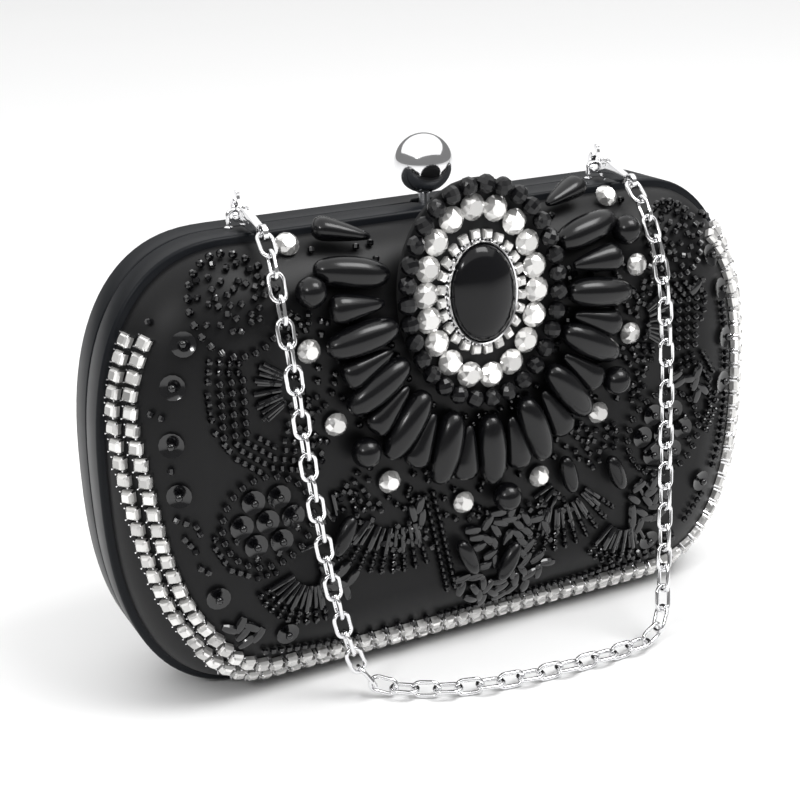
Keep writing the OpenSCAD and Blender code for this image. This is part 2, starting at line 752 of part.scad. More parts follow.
// Moves a point of the border on the left side: in above the lower corner, and out at the top by rise.
function swung(p, rise) =
    let (
        low = border_sag * share(1 - abs(p.y - 18) / 52) * share((-p.x - 50) / 22),
        high = p.x < 0 ? rise * share((p.y - 66) / 16) : 0,
        fall = fall_angle(p)
    )
    p - (low - high) * [cos(fall), sin(fall)];
module border_row(t, rise) {
    ring = panel_ring(t, 0, front_d);
    shape = outline(ring[0]);
    n = len(shape);
    // From the left end of the outline, round the bottom, to the right end.
    level = concat([for (i = [corner_steps + 1:n - 1]) shape[i]], [for (i = [0:corner_steps]) shape[i]]);
    low = [for (p = level) swung(p, rise)];
    sums = lengths(low);
    total = sums[len(low) - 1];
    for (i = [0:floor(total / border_pitch)]) {
        s = (i + 0.5) * border_pitch;
        p = at_length(low, sums, s, 0, len(low) - 1);
        if (p.y < (p.x < 0 ? border_top_left : border_top_right) && s < total)
            on_panel(p, 0.15, fall_angle(p))
                translate([-border_size / 2, -border_size / 2, 0])
                cube([border_size, border_size, 2.4]);
    }
}
module border_stones_outer() { color("#efece6") border_row(25, 1.2); }
module border_stones_inner() { color("#efece6") border_row(42, 2.4); }

// ---- Sequins, seeds, bugles and pods

rosettes = both_sides([[-57.5, 49.5]]);
edge_places = both_sides([
    [-73.5, 95.5], [-77, 86], [-78.6, 72.5], [-78, 60], [-71, 32.5], [-54, 18.5]
]);
sequin_lift = 0.3;
module sequin_places() {
    for (c = rosettes, i = [0:5])
        on_panel(c + 6.6 * [cos(i * 60), sin(i * 60)], sequin_lift) children();
    for (c = concat(rosettes, edge_places))
        on_panel(c, sequin_lift) children();
}
module sequins() {
    color("#121214") sequin_places() cylinder(d = sequin_dia, h = 0.4);
}
module sequin_beads() {
    color("#0a0a0c") sequin_places() translate([0, 0, 0.5 + seed_dia / 2]) sphere(d = seed_dia);
}
// Rings of seed beads: centre and radius.
seed_rings = concat([for (c = rosettes) [c, 11.6]], [[[-60.5, 102], 10.4], [[61.4, 101.5], 8.6]]);
module seed_beads() {
    color("#0c0c0e") {
        for (ring = seed_rings, i = [0:23])
            on_panel(ring[0] + ring[1] * [cos(i * 15), sin(i * 15)], seed_dia / 2 + 0.2) sphere(d = seed_dia);
        for (side = [-1, 1], row = [0:2], i = [0:5])
            on_panel([side * (67 - row * 2.8), 73 + i * 2.6], seed_dia / 2 + 0.2) sphere(d = seed_dia);
    }
}
// Fans of bugle beads: centre, first angle, last angle and radius.
fans = [
    [[-46, 36], 200, 275, 9.5], [[46, 30], 220, 282, 9.5],
    [[-21.5, 54], 228, 282, 17.5], [[24, 46], 255, 315, 15],
    [[-46, 82], 150, 210, 9.5], [[46, 82], -30, 30, 9.5]
];
module bugle_beads() {
    rays = 5;
    bugle_l = 7;
    color("#0c0c0e")
        for (fan = fans, i = [0:rays - 1]) {
            angle = fan[1] + (fan[2] - fan[1]) * i / (rays - 1);
            on_panel(fan[0] + fan[3] * [cos(angle), sin(angle)], 0.9, angle)
                rotate([0, 90, 0])
                cylinder(d = 1.3, h = bugle_l, center = true);
        }
}
module pod_beads() {
    color("#0b0b0d")
        for (pod = [[-38.5, 42, 60], [41.5, 41.8, 113], [26.5, 44.5, 105], [-4, 28, 115], [8, 24, 60]])
            on_panel([pod[0], pod[1]], 2.6, pod[2]) turned_bead(11, 4.6, 0.7);
}

front_frame();
front_shell();
front_cover();
front_lining();
front_hinge_leaf();
hinge_pin();
clasp_bracket();
clasp_pin();
clasp_spring();
strap_loop_left();
strap_loop_right();
medallion_backing();
cabochon();
cabochon_bezel();
halo_stones_inner();
halo_stones_outer();
collar_beads();
petal_beads_long();
petal_beads_drop();
round_beads();
accent_stones();
border_stones_outer();
border_stones_inner();
sequins();
sequin_beads();
bugle_beads();
seed_beads();
pod_beads();
back_frame();
back_shell();
back_cover();
back_lining();
back_hinge_leaf();
catch_plate();
clasp_ball();
clasp_lever();
strap_clasp_left();
strap_clasp_right();
clasp_rivet_left();
clasp_rivet_right();
clasp_trigger_left();
clasp_trigger_right();
strap_chain_left();
strap_chain_floor();
strap_chain_right();
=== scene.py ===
"""Builds the looks of a hard-sided evening bag round its packed solids: lacquered frames, satin
panels, a ball clasp, an oval medallion with beadwork round it, and a chain strap on spring clasps."""

import json
import math
import random

import bmesh
import bpy
from bpy.props import FloatProperty, FloatVectorProperty, IntProperty, PointerProperty
from mathutils import Matrix, Vector


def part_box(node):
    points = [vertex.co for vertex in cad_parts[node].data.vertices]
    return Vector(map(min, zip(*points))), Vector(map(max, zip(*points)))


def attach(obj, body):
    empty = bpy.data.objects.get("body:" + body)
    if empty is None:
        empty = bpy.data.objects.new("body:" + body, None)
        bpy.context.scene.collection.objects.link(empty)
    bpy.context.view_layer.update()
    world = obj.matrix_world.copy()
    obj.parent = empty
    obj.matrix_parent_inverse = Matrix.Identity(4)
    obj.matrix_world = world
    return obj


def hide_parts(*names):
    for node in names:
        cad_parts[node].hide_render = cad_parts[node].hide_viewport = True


bl_info = {
    "name": "Beaded evening bag",
    "version": (1, 0, 0),
    "blender": (4, 5, 0),
    "location": "3D View > Sidebar > Bag",
    "description": "Builds a hard-sided evening bag with a beaded face and a chain strap",
    "category": "Object",
}

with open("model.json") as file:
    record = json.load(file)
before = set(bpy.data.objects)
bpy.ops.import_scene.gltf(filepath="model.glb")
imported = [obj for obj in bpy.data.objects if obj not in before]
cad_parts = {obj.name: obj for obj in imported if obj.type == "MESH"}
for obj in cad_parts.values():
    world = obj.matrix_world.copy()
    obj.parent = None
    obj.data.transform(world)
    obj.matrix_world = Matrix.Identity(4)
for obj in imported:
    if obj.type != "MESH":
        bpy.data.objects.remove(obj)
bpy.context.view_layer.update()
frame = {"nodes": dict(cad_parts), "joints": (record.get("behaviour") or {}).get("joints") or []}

MM = 0.001


def joint_place(name):
    """The point in the row frame that a joint turns about."""
    return Vector(next(j["pos_m"] for j in frame["joints"] if j["name"] == name))


# ---- Sizes taken from the packed solids

frame_low, frame_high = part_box("front_frame")
PARTING = joint_place("lid_open").y
HALF_W = frame_high.x
HEIGHT = frame_high.z
MID_Z = HEIGHT / 2
GROOVE = HALF_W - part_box("front_cover")[1].x
BAND = PARTING - frame_low.y
FRONT_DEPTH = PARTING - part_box("front_cover")[0].y
BACK_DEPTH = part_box("back_cover")[1].y - PARTING
LINING_INSET = HALF_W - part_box("front_lining")[1].x
BALL_LOW, BALL_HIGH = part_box("clasp_ball")
CABOCHON_LOW, CABOCHON_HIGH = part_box("cabochon")
MEDALLION = (CABOCHON_LOW + CABOCHON_HIGH) / 2
AHEAD = Vector((0, -1, 0))
LOOP_AT = joint_place("right_clasp_swing")
TAIL_AT = joint_place("strap_swing")


# ---- Settings that a user would change


def length(name, description, default, low=0.0, high=1.0):
    return FloatProperty(
        name=name, description=description, default=default, min=low, max=high, unit="LENGTH", precision=5
    )


def colour(name, description, default):
    return FloatVectorProperty(
        name=name, description=description, default=default, min=0, max=1, size=3, subtype="COLOR"
    )


class BagBody(bpy.types.PropertyGroup):
    """Shape of the shells and their frames."""

    corner_width: length("Corner width", "Width of each rounded end of the outline", 37 * MM)
    corner_power: FloatProperty(
        name="Corner power", description="Squareness of the rounded ends", default=2.5, min=2, max=4
    )
    shoulder_in: length("Shoulder", "How far the rounded shoulder reaches in from the groove", 20 * MM)
    shoulder_power: FloatProperty(
        name="Shoulder power", description="Fullness of the shoulder", default=1.7, min=1.3, max=3
    )
    satin_thickness: length("Satin thickness", "Thickness of the covering fabric", 0.45 * MM)
    lining_thickness: length("Lining thickness", "Thickness of the lining", 0.55 * MM)
    band_wall: length("Band wall", "Wall of the frame bands", 1.2 * MM)
    outer_edge: length("Outer edge radius", "Rounding of the bands' outer edges", 0.9 * MM)
    parting_edge: length("Parting edge radius", "Rounding of the bands where they meet", 0.6 * MM)


class BagStrap(bpy.types.PropertyGroup):
    """Sizes of the chain, its loops and its clasps."""

    link_length: length("Link length", "Outer length of a link", 7.9 * MM)
    link_width: length("Link width", "Outer width of a link", 4.9 * MM)
    wire: length("Wire", "Diameter of the chain's wire", 1.1 * MM)
    loop_wire: length("Loop wire", "Diameter of the strap loops' wire", 1.2 * MM)
    loop_width: length("Loop width", "Distance between a loop's legs", 5.2 * MM)
    clasp_edge: length("Clasp edge radius", "Rounding of the spring clasps' edges", 0.28 * MM)


class BagTrim(bpy.types.PropertyGroup):
    """Sizes of the stones and beads."""

    cabochon_width: length("Cabochon width", "Width of the oval cabochon", 18 * MM)
    cabochon_length: length("Cabochon length", "Length of the oval cabochon", 25 * MM)
    medallion_tilt: FloatProperty(
        name="Medallion tilt", description="Sideways tilt", default=math.radians(6), subtype="ANGLE"
    )
    halo_stone: length("Halo stone", "Diameter of the large round stones", 6.7 * MM)
    small_stone: length("Small stone", "Side of the small square stones", 2.5 * MM)
    collar_bead: length("Collar bead", "Diameter of the collar beads", 4.8 * MM)
    petal_length: length("Petal length", "Length of the long petal beads", 19 * MM)
    petal_width: length("Petal width", "Diameter of the long petal beads", 8 * MM)
    border_stone: length("Border stone", "Side of the square border stones", 3.3 * MM)
    accent_stone: length("Accent stone", "Diameter of the accent stones", 6 * MM)
    round_bead: length("Round bead", "Diameter of the round beads", 7.6 * MM)
    sequin: length("Sequin", "Diameter of the sequins", 6 * MM)
    seed: length("Seed bead", "Diameter of the seed beads", 2 * MM)
    # The seed starts the facets' painted glints and the embroidery's random scatter.
    shade_seed: IntProperty(name="Shade seed", description="Start of the facets' shades", default=7)


class BagColours(bpy.types.PropertyGroup):
    """Colours of the materials."""

    satin: colour("Satin", "Colour of the satin", (0.0045, 0.0045, 0.005))
    lacquer: colour("Lacquer", "Colour of the frames", (0.008, 0.009, 0.011))
    lining: colour("Lining", "Colour of the lining", (0.02, 0.02, 0.022))
    bead: colour("Beads", "Colour of the black beads", (0.0025, 0.0025, 0.003))
    silver: colour("Silver", "Colour of the bright metal", (0.83, 0.83, 0.84))
    steel: colour("Steel", "Colour of the fittings inside", (0.5, 0.51, 0.53))
    crystal: colour("Crystal", "Colour of the clear stones", (0.95, 0.94, 0.92))
    board: colour("Board", "Colour of the moulded boards", (0.12, 0.1125, 0.105))
    floor: colour("Floor", "Colour of the floor", (0.9, 0.9, 0.9))


# ---- The outline and the panels' curved surface


def outline(inset, corner_steps=18, run_steps=28):
    """Points of the bag's outline moved in by an inset, as (x, z), counter-clockwise from the right end."""
    body = bpy.context.scene.bag_body
    straight = HALF_W - body.corner_width
    quarter = []
    for i in range(corner_steps + 1):
        t = math.radians(90 * i / corner_steps)
        x = straight + (body.corner_width - inset) * math.cos(t) ** (2 / body.corner_power)
        quarter.append((x, (MID_Z - inset) * math.sin(t) ** (2 / body.corner_power)))
    run = [straight - 2 * straight * i / run_steps for i in range(1, run_steps)]
    top = [(x, MID_Z + z) for x, z in quarter] + [(x, HEIGHT - inset) for x in run]
    top += [(-x, MID_Z + z) for x, z in reversed(quarter)]
    low = [(-x, MID_Z - z) for x, z in quarter[1:]] + [(-x, inset) for x in run]
    low += [(x, MID_Z - z) for x, z in reversed(quarter[1:])]
    return top + low


def panel_ring(t, inwards, depth):
    """Inset and depth of a panel's ring at angle t up its shoulder, moved in from the surface."""
    body = bpy.context.scene.bag_body
    rise = depth - BAND
    across = max(0.0, math.cos(t)) ** (2 / body.shoulder_power)
    up = math.sin(t) ** (2 / body.shoulder_power)
    side_pull = across ** (body.shoulder_power - 1) / body.shoulder_in
    face_pull = up ** (body.shoulder_power - 1) / rise
    pull = math.hypot(side_pull, face_pull)
    return (
        GROOVE + body.shoulder_in * (1 - across) + inwards * side_pull / pull,
        BAND + rise * up - inwards * face_pull / pull,
    )


def panel_rings(inwards, depth, steps=14):
    return [panel_ring(math.radians(90) * i / steps, inwards, depth) for i in range(steps + 1)]


def ring_points(rings, side, **steps):
    """Rings of points in the row frame. side is -1 for the front half and 1 for the back half."""
    return [[(x, PARTING + side * depth, z) for x, z in outline(inset, **steps)] for inset, depth in rings]


def inset_at(x, z):
    """How far in from the outline a point of the front view lies."""
    body = bpy.context.scene.bag_body
    straight = HALF_W - body.corner_width
    low, high = 0.0, 36 * MM
    for _ in range(24):
        middle = (low + high) / 2
        reach = (max(0.0, abs(x) - straight) / (body.corner_width - middle)) ** body.corner_power
        reach += (abs(z - MID_Z) / (MID_Z - middle)) ** body.corner_power
        low, high = (low, middle) if reach > 1 else (middle, high)
    return (low + high) / 2


def panel_frame(x, z):
    """The front panel's surface at a point of the front view: the point and the outward normal."""
    body = bpy.context.scene.bag_body
    rise = FRONT_DEPTH - BAND
    across = min(1.0, max(0.0, 1 - (inset_at(x, z) - GROOVE) / body.shoulder_in))
    up = (1 - across**body.shoulder_power) ** (1 / body.shoulder_power)
    dx = max(0.0, abs(x) - (HALF_W - body.corner_width)) / body.corner_width
    dz = abs(z - MID_Z) / MID_Z
    side_fall = math.copysign(dx ** (body.corner_power - 1) / body.corner_width, x)
    fall = Vector((side_fall, 0, math.copysign(dz ** (body.corner_power - 1) / MID_Z, z - MID_Z)))
    normal = AHEAD
    if across > 0 and fall.length > 0:
        steep = Vector((0, -(up ** (body.shoulder_power - 1)) / rise, 0))
        flat = fall.normalized() * across ** (body.shoulder_power - 1) / body.shoulder_in
        normal = (steep + flat).normalized()
    return Vector((x, PARTING - BAND - rise * up, z)), normal


def facing(place, normal, along):
    """A frame at a place whose Z is the normal and whose X lies as near to along as it can."""
    normal = normal.normalized()
    x_axis = (along - normal * along.dot(normal)).normalized()
    y_axis = normal.cross(x_axis)
    turn = Matrix((x_axis, y_axis, normal)).transposed().to_4x4()
    return Matrix.Translation(place) @ turn


def on_panel(x, z, lift=0.0, spin=0.0):
    """A frame on the front panel, lifted off it, with X at an angle in the front view."""
    place, normal = panel_frame(x, z)
    return facing(place + normal * lift, normal, Vector((math.cos(spin), 0, math.sin(spin))))


# ---- Shapes made with mesh operators


def swept(rings, ends="capped"):
    """A skin through rings of points. ends is capped, open or joined, for the last ring back to the first."""
    bm = bmesh.new()
    verts = bmesh.ops.create_circle(bm, segments=len(rings[0]), radius=1)["verts"]
    for vert, point in zip(verts, rings[0]):
        vert.co = point
    edges = first = list(bm.edges)
    for ring in list(rings[1:]) + ([rings[0]] if ends == "joined" else []):
        grown = bmesh.ops.extrude_edge_only(bm, edges=edges)["geom"]
        new = {v for v in grown if isinstance(v, bmesh.types.BMVert)}
        verts = [next(e.other_vert(v) for e in v.link_edges if e.other_vert(v) in new) for v in verts]
        for vert, point in zip(verts, ring):
            vert.co = point
        edges = [e for e in grown if isinstance(e, bmesh.types.BMEdge)]
    if ends == "capped":
        bmesh.ops.edgeloop_fill(bm, edges=first)
        bmesh.ops.edgeloop_fill(bm, edges=edges)
    return bm


def tube(path, radius, sides=12, closed=False):
    """A round wire along a path of points."""
    path = [Vector(p) for p in path]
    count = len(path)
    rings = []
    across = None
    for i, point in enumerate(path):
        ahead = path[(i + 1) % count] if closed or i + 1 < count else point
        behind = path[i - 1] if closed or i > 0 else point
        run = (ahead - behind).normalized()
        if across is None:
            across = run.orthogonal().normalized()
        across = (across - run * across.dot(run)).normalized()
        other = run.cross(across)
        turns = [2 * math.pi * j / sides for j in range(sides)]
        rings.append([point + radius * (across * math.cos(a) + other * math.sin(a)) for a in turns])
    return swept(rings, "joined" if closed else "capped")


def spun(profile, segments=24):
    """A shape turned about Z from a profile of (radius, height) points."""
    bm = bmesh.new()
    verts = [bm.verts.new((radius, 0, height)) for radius, height in profile]
    edges = [bm.edges.new(pair) for pair in zip(verts, verts[1:])]
    turn = {"axis": (0, 0, 1), "cent": (0, 0, 0), "angle": 2 * math.pi, "steps": segments}
    bmesh.ops.spin(bm, geom=verts + edges, use_merge=True, **turn)
    bmesh.ops.remove_doubles(bm, verts=bm.verts, dist=1e-7)
    return bm


def laid(bm):
    """A shape turned so that its own Z lies along X."""
    bmesh.ops.rotate(bm, verts=bm.verts, cent=(0, 0, 0), matrix=Matrix.Rotation(math.radians(90), 3, "Y"))
    return bm


def hull_of(points):
    """The smallest closed shape round some points, with its flat facets whole."""
    bm = bmesh.new()
    for point in points:
        bm.verts.new(point)
    made = bmesh.ops.convex_hull(bm, input=bm.verts)
    inside = [v for v in made["geom_interior"] + made["geom_unused"] if isinstance(v, bmesh.types.BMVert)]
    bmesh.ops.delete(bm, geom=inside, context="VERTS")
    bmesh.ops.dissolve_limit(bm, angle_limit=math.radians(1), verts=bm.verts, edges=bm.edges)
    return bm


def circle_points(radius, height, count, start=0.0):
    turns = [2 * math.pi * (i + start) / count for i in range(count)]
    return [(radius * math.cos(a), radius * math.sin(a), height) for a in turns]


def stamped(shape, frames):
    """Copies of a shape at each frame, as one mesh. The shape is used up."""
    pattern = bpy.data.meshes.new("pattern")
    shape.to_mesh(pattern)
    shape.free()
    bm = bmesh.new()
    for place in frames:
        before = len(bm.verts)
        bm.from_mesh(pattern)
        bm.verts.ensure_lookup_table()
        bmesh.ops.transform(bm, matrix=place, verts=bm.verts[before:])
    bpy.data.meshes.remove(pattern)
    return bm


def joined(*shapes):
    """Several shapes as one. They are used up."""
    bm = bmesh.new()
    for shape in shapes:
        part = bpy.data.meshes.new("part")
        shape.to_mesh(part)
        shape.free()
        bm.from_mesh(part)
        bpy.data.meshes.remove(part)
    return bm


def merged_copy(node):
    """A packed solid's mesh, with its doubled points merged."""
    bm = bmesh.new()
    bm.from_mesh(frame["nodes"][node].data)
    bmesh.ops.remove_doubles(bm, verts=bm.verts, dist=1e-6)
    return bm


def softened(node, width, sharp=40, clamped=True):
    """A copy of a packed solid with its edges sharper than an angle rounded."""
    bm = merged_copy(node)
    bmesh.ops.dissolve_limit(bm, angle_limit=math.radians(2), verts=bm.verts, edges=bm.edges)
    bmesh.ops.bevel(
        bm,
        geom=[e for e in bm.edges if len(e.link_faces) == 2 and e.calc_face_angle(0) > math.radians(sharp)],
        offset=width,
        offset_type="OFFSET",
        affect="EDGES",
        segments=3,
        profile=0.5,
        material=-1,
        clamp_overlap=clamped,
    )
    return bm


def in_order(vectors):
    """Vectors sorted by their numbers, so that every run meets them in the same order."""
    return sorted(vectors, key=lambda v: tuple(round(c, 7) for c in v))


def solids_of(node):
    """Each separate solid of a packed node: its middle, its outward normal and its long direction."""
    bm = merged_copy(node)
    bm.normal_update()
    left = set(bm.verts)
    found = []
    for seed in list(bm.verts):
        if seed not in left:
            continue
        island, edge = {seed}, [seed]
        while edge:
            vert = edge.pop()
            for e in vert.link_edges:
                other = e.other_vert(vert)
                if other not in island:
                    island.add(other)
                    edge.append(other)
        left -= island
        points = in_order(v.co.copy() for v in island)
        low, high = (Vector([pick(p[k] for p in points) for k in range(3)]) for pick in (min, max))
        middle = (low + high) / 2
        outward = panel_frame(middle.x, middle.z)[1]
        normals = in_order(f.normal.copy() for f in {f for v in island for f in v.link_faces})
        normal = max(normals, key=lambda n: round(n.dot(outward), 5))
        far = max(points, key=lambda p: round((p - middle).length, 7))
        tip = max(points, key=lambda p: round((p - far).length, 7))
        reach = (far - tip).length_squared * 0.4
        ends = [[p for p in points if side * (p - middle).dot(far - tip) > reach] for side in (1, -1)]
        along = sum(ends[0], Vector()) / len(ends[0]) - sum(ends[1], Vector()) / len(ends[1])
        found.append((middle, normal, along, outward))
    bm.free()
    found.sort(key=lambda s: tuple(round(c, 5) for c in s[0]))
    return found


def shade_facets(mesh):
    """Paints a glint on each facet: a random shade from 0 to 1 in the attribute called facet, painted sparkle
    in place of the light each facet would catch.
    """
    draw = random.Random(bpy.context.scene.bag_trim.shade_seed)
    layer = mesh.color_attributes.new("facet", "FLOAT_COLOR", "CORNER")
    for face in mesh.polygons:
        shade = draw.random()
        for corner in face.loop_indices:
            layer.data[corner].color = (shade, shade, shade, 1)


def make_piece(name, bm, material, body, replaces=(), crease=35, facets=False):
    """Turns a shape into a finished piece that rides on a body."""
    bmesh.ops.recalc_face_normals(bm, faces=bm.faces)
    mesh = bpy.data.meshes.new(name)
    bm.to_mesh(mesh)
    bm.free()
    if facets:
        mesh.shade_flat()
        # Flat facets get painted glints: a random shade per facet, painted sparkle.
        shade_facets(mesh)
    else:
        mesh.shade_smooth()
        mesh.set_sharp_from_angle(angle=math.radians(crease))
    mesh.materials.append(material)
    piece = bpy.data.objects.new(name, mesh)
    bpy.context.scene.collection.objects.link(piece)
    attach(piece, body)
    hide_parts(*replaces)
    return piece


def front_beads(name, bm, material, *nodes, crease=60):
    make_piece(name, bm, material, "front_half", nodes, crease)


def front_stones(name, bm, *nodes):
    make_piece(name, bm, clear_crystal(), "front_half", nodes, facets=True)


def front_metal(name, bm, *nodes):
    make_piece(name, bm, bright_silver(), "front_half", nodes)


# ---- Materials


class Finish:
    """A material's nodes, with short ways to add the usual ones."""

    def __init__(self, name, base, rough, **more):
        self.material = bpy.data.materials.new(name)
        self.material.use_nodes = True
        self.nodes = self.material.node_tree.nodes
        self.links = self.material.node_tree.links
        self.shader = self.nodes["Principled BSDF"]
        self.base = tuple(base)
        self.shader.inputs["Base Color"].default_value = (*base, 1)
        self.shader.inputs["Roughness"].default_value = rough
        for socket, value in more.items():
            self.shader.inputs[socket.replace("_", " ")].default_value = value
        self.place = self.nodes.new("ShaderNodeTexCoord").outputs["Object"]

    def add(self, kind, **settings):
        node = self.nodes.new(kind)
        for key, value in settings.items():
            setattr(node, key, value)
        return node

    def mapped(self, scale=(1, 1, 1), turn=(0, 0, 0)):
        node = self.add("ShaderNodeMapping")
        node.inputs["Scale"].default_value = scale
        node.inputs["Rotation"].default_value = turn
        self.links.new(self.place, node.inputs["Vector"])
        return node.outputs["Vector"]

    def noise(self, scale, detail=2.0, vector=None):
        node = self.add("ShaderNodeTexNoise")
        node.inputs["Scale"].default_value = scale
        node.inputs["Detail"].default_value = detail
        self.links.new(vector or self.place, node.inputs["Vector"])
        return node.outputs["Fac"]

    def waves(self, scale, direction, vector=None):
        node = self.add("ShaderNodeTexWave", bands_direction=direction)
        node.inputs["Scale"].default_value = scale
        self.links.new(vector or self.place, node.inputs["Vector"])
        return node.outputs["Fac"]

    def sum_of(self, first, second):
        node = self.add("ShaderNodeMath", operation="ADD")
        self.links.new(first, node.inputs[0])
        self.links.new(second, node.inputs[1])
        return node.outputs["Value"]

    def feed(self, value, socket):
        self.links.new(value, self.shader.inputs[socket])

    def tint(self, value, low, high):
        """Varies the base colour between two shares of the finish's own."""
        node = self.add("ShaderNodeMix", data_type="RGBA")
        node.inputs["A"].default_value = (*(min(1.0, c * low) for c in self.base), 1)
        node.inputs["B"].default_value = (*(min(1.0, c * high) for c in self.base), 1)
        self.links.new(value, node.inputs["Factor"])
        self.feed(node.outputs["Result"], "Base Color")

    def rough(self, value, low, high):
        """Varies the roughness between two values."""
        node = self.add("ShaderNodeMapRange")
        node.inputs["To Min"].default_value = low
        node.inputs["To Max"].default_value = high
        self.links.new(value, node.inputs["Value"])
        self.feed(node.outputs["Result"], "Roughness")

    def bump(self, height, strength, distance):
        node = self.add("ShaderNodeBump")
        node.inputs["Strength"].default_value = strength
        node.inputs["Distance"].default_value = distance
        self.links.new(height, node.inputs["Height"])
        self.feed(node.outputs["Normal"], "Normal")


def finish(colour_name, rough, **sockets):
    """Makes a material the first time it is asked for and hands out the same one after that."""

    def wrap(detail):
        def get():
            known = bpy.data.materials.get(detail.__name__)
            if known:
                return known
            base = getattr(bpy.context.scene.bag_colours, colour_name)
            made = Finish(detail.__name__, base, rough, **sockets)
            detail(made)
            return made.material

        return get

    return wrap


@finish("satin", 0.42, Sheen_Weight=0.02, Specular_IOR_Level=0.21)
def black_satin(cloth):
    cloth.tint(cloth.noise(35, 3), 0.8, 1.25)
    cloth.rough(cloth.noise(90, 4), 0.36, 0.48)
    warp = cloth.waves(900, "X", cloth.mapped(turn=(0, math.radians(45), 0)))
    weft = cloth.waves(900, "X", cloth.mapped(turn=(0, math.radians(-45), 0)))
    cloth.bump(cloth.sum_of(cloth.sum_of(warp, weft), cloth.noise(160, 3)), 0.12, 0.05 * MM)


@finish("lining", 0.75, Sheen_Weight=0.2)
def woven_lining(cloth):
    cloth.tint(cloth.noise(60, 3), 0.75, 1.3)
    cloth.bump(cloth.sum_of(cloth.waves(420, "X"), cloth.waves(420, "Z")), 0.3, 0.12 * MM)


@finish("lacquer", 0.34, IOR=1.22)
def black_lacquer(paint):
    paint.tint(paint.noise(30, 4), 0.85, 1.2)
    paint.rough(paint.noise(120, 5), 0.3, 0.4)
    paint.bump(paint.noise(500, 3), 0.04, 0.05 * MM)


@finish("silver", 0.1, Metallic=1.0)
def bright_silver(metal):
    metal.tint(metal.noise(300, 4), 0.93, 1.03)
    metal.rough(metal.noise(700, 5), 0.06, 0.15)
    metal.bump(metal.noise(900, 4), 0.03, 0.03 * MM)


@finish("steel", 0.3, Metallic=1.0)
def brushed_fittings(metal):
    strokes = metal.noise(250, 4, metal.mapped(scale=(0.06, 1, 1)))
    metal.tint(strokes, 0.85, 1.12)
    metal.rough(strokes, 0.24, 0.4)
    metal.bump(strokes, 0.08, 0.05 * MM)


@finish("bead", 0.2, IOR=1.42)
def polished_bead(bead):
    bead.tint(bead.noise(120, 2), 0.8, 1.6)
    bead.rough(bead.noise(260, 3), 0.16, 0.26)
    bead.bump(bead.noise(220, 2), 0.05, 0.1 * MM)


@finish("bead", 0.1, IOR=1.6)
def cut_glass(glass):
    glass.tint(glass.noise(350, 2), 1, 2)
    glass.rough(glass.noise(900, 2), 0.06, 0.16)


@finish("bead", 0.24, IOR=1.4)
def matte_bead(bead):
    bead.tint(bead.noise(180, 3), 1, 2)
    bead.rough(bead.noise(400, 3), 0.18, 0.32)
    bead.bump(bead.noise(600, 3), 0.1, 0.1 * MM)


@finish("bead", 0.1, IOR=1.34)
def dark_stone(stone):
    stone.tint(stone.noise(90, 3), 0.9, 2.2)
    stone.rough(stone.noise(60, 2), 0.08, 0.16)


@finish("crystal", 0.08, Metallic=0.55, Coat_Weight=1.0, Coat_Roughness=0.02)
def clear_crystal(stone):
    # Painted sparkle: each facet's base colour runs from 0.42 to 1 of the crystal's own, following its random
    # shade in the facet attribute, in place of the light each facet would catch.
    stone.tint(stone.add("ShaderNodeAttribute", attribute_name="facet").outputs["Fac"], 0.42, 1)
    stone.rough(stone.noise(500, 2), 0.04, 0.14)


@finish("satin", 0.85)
def black_felt(cloth):
    cloth.tint(cloth.noise(400, 4), 0.7, 1.6)
    cloth.bump(cloth.noise(1500, 4), 0.5, 0.15 * MM)


@finish("board", 0.8)
def grey_board(board):
    board.tint(board.noise(200, 5), 2 / 3, 4 / 3)
    board.bump(board.noise(900, 4), 0.3, 0.1 * MM)


@finish("floor", 0.55)
def pale_floor(floor):
    floor.tint(floor.noise(3, 2), 0.985, 1)


def dress(material, *nodes):
    """Gives packed solids that stay in view their material."""
    for node in nodes:
        slots = frame["nodes"][node].data.materials
        slots.clear()
        slots.append(material)


# ---- Operators


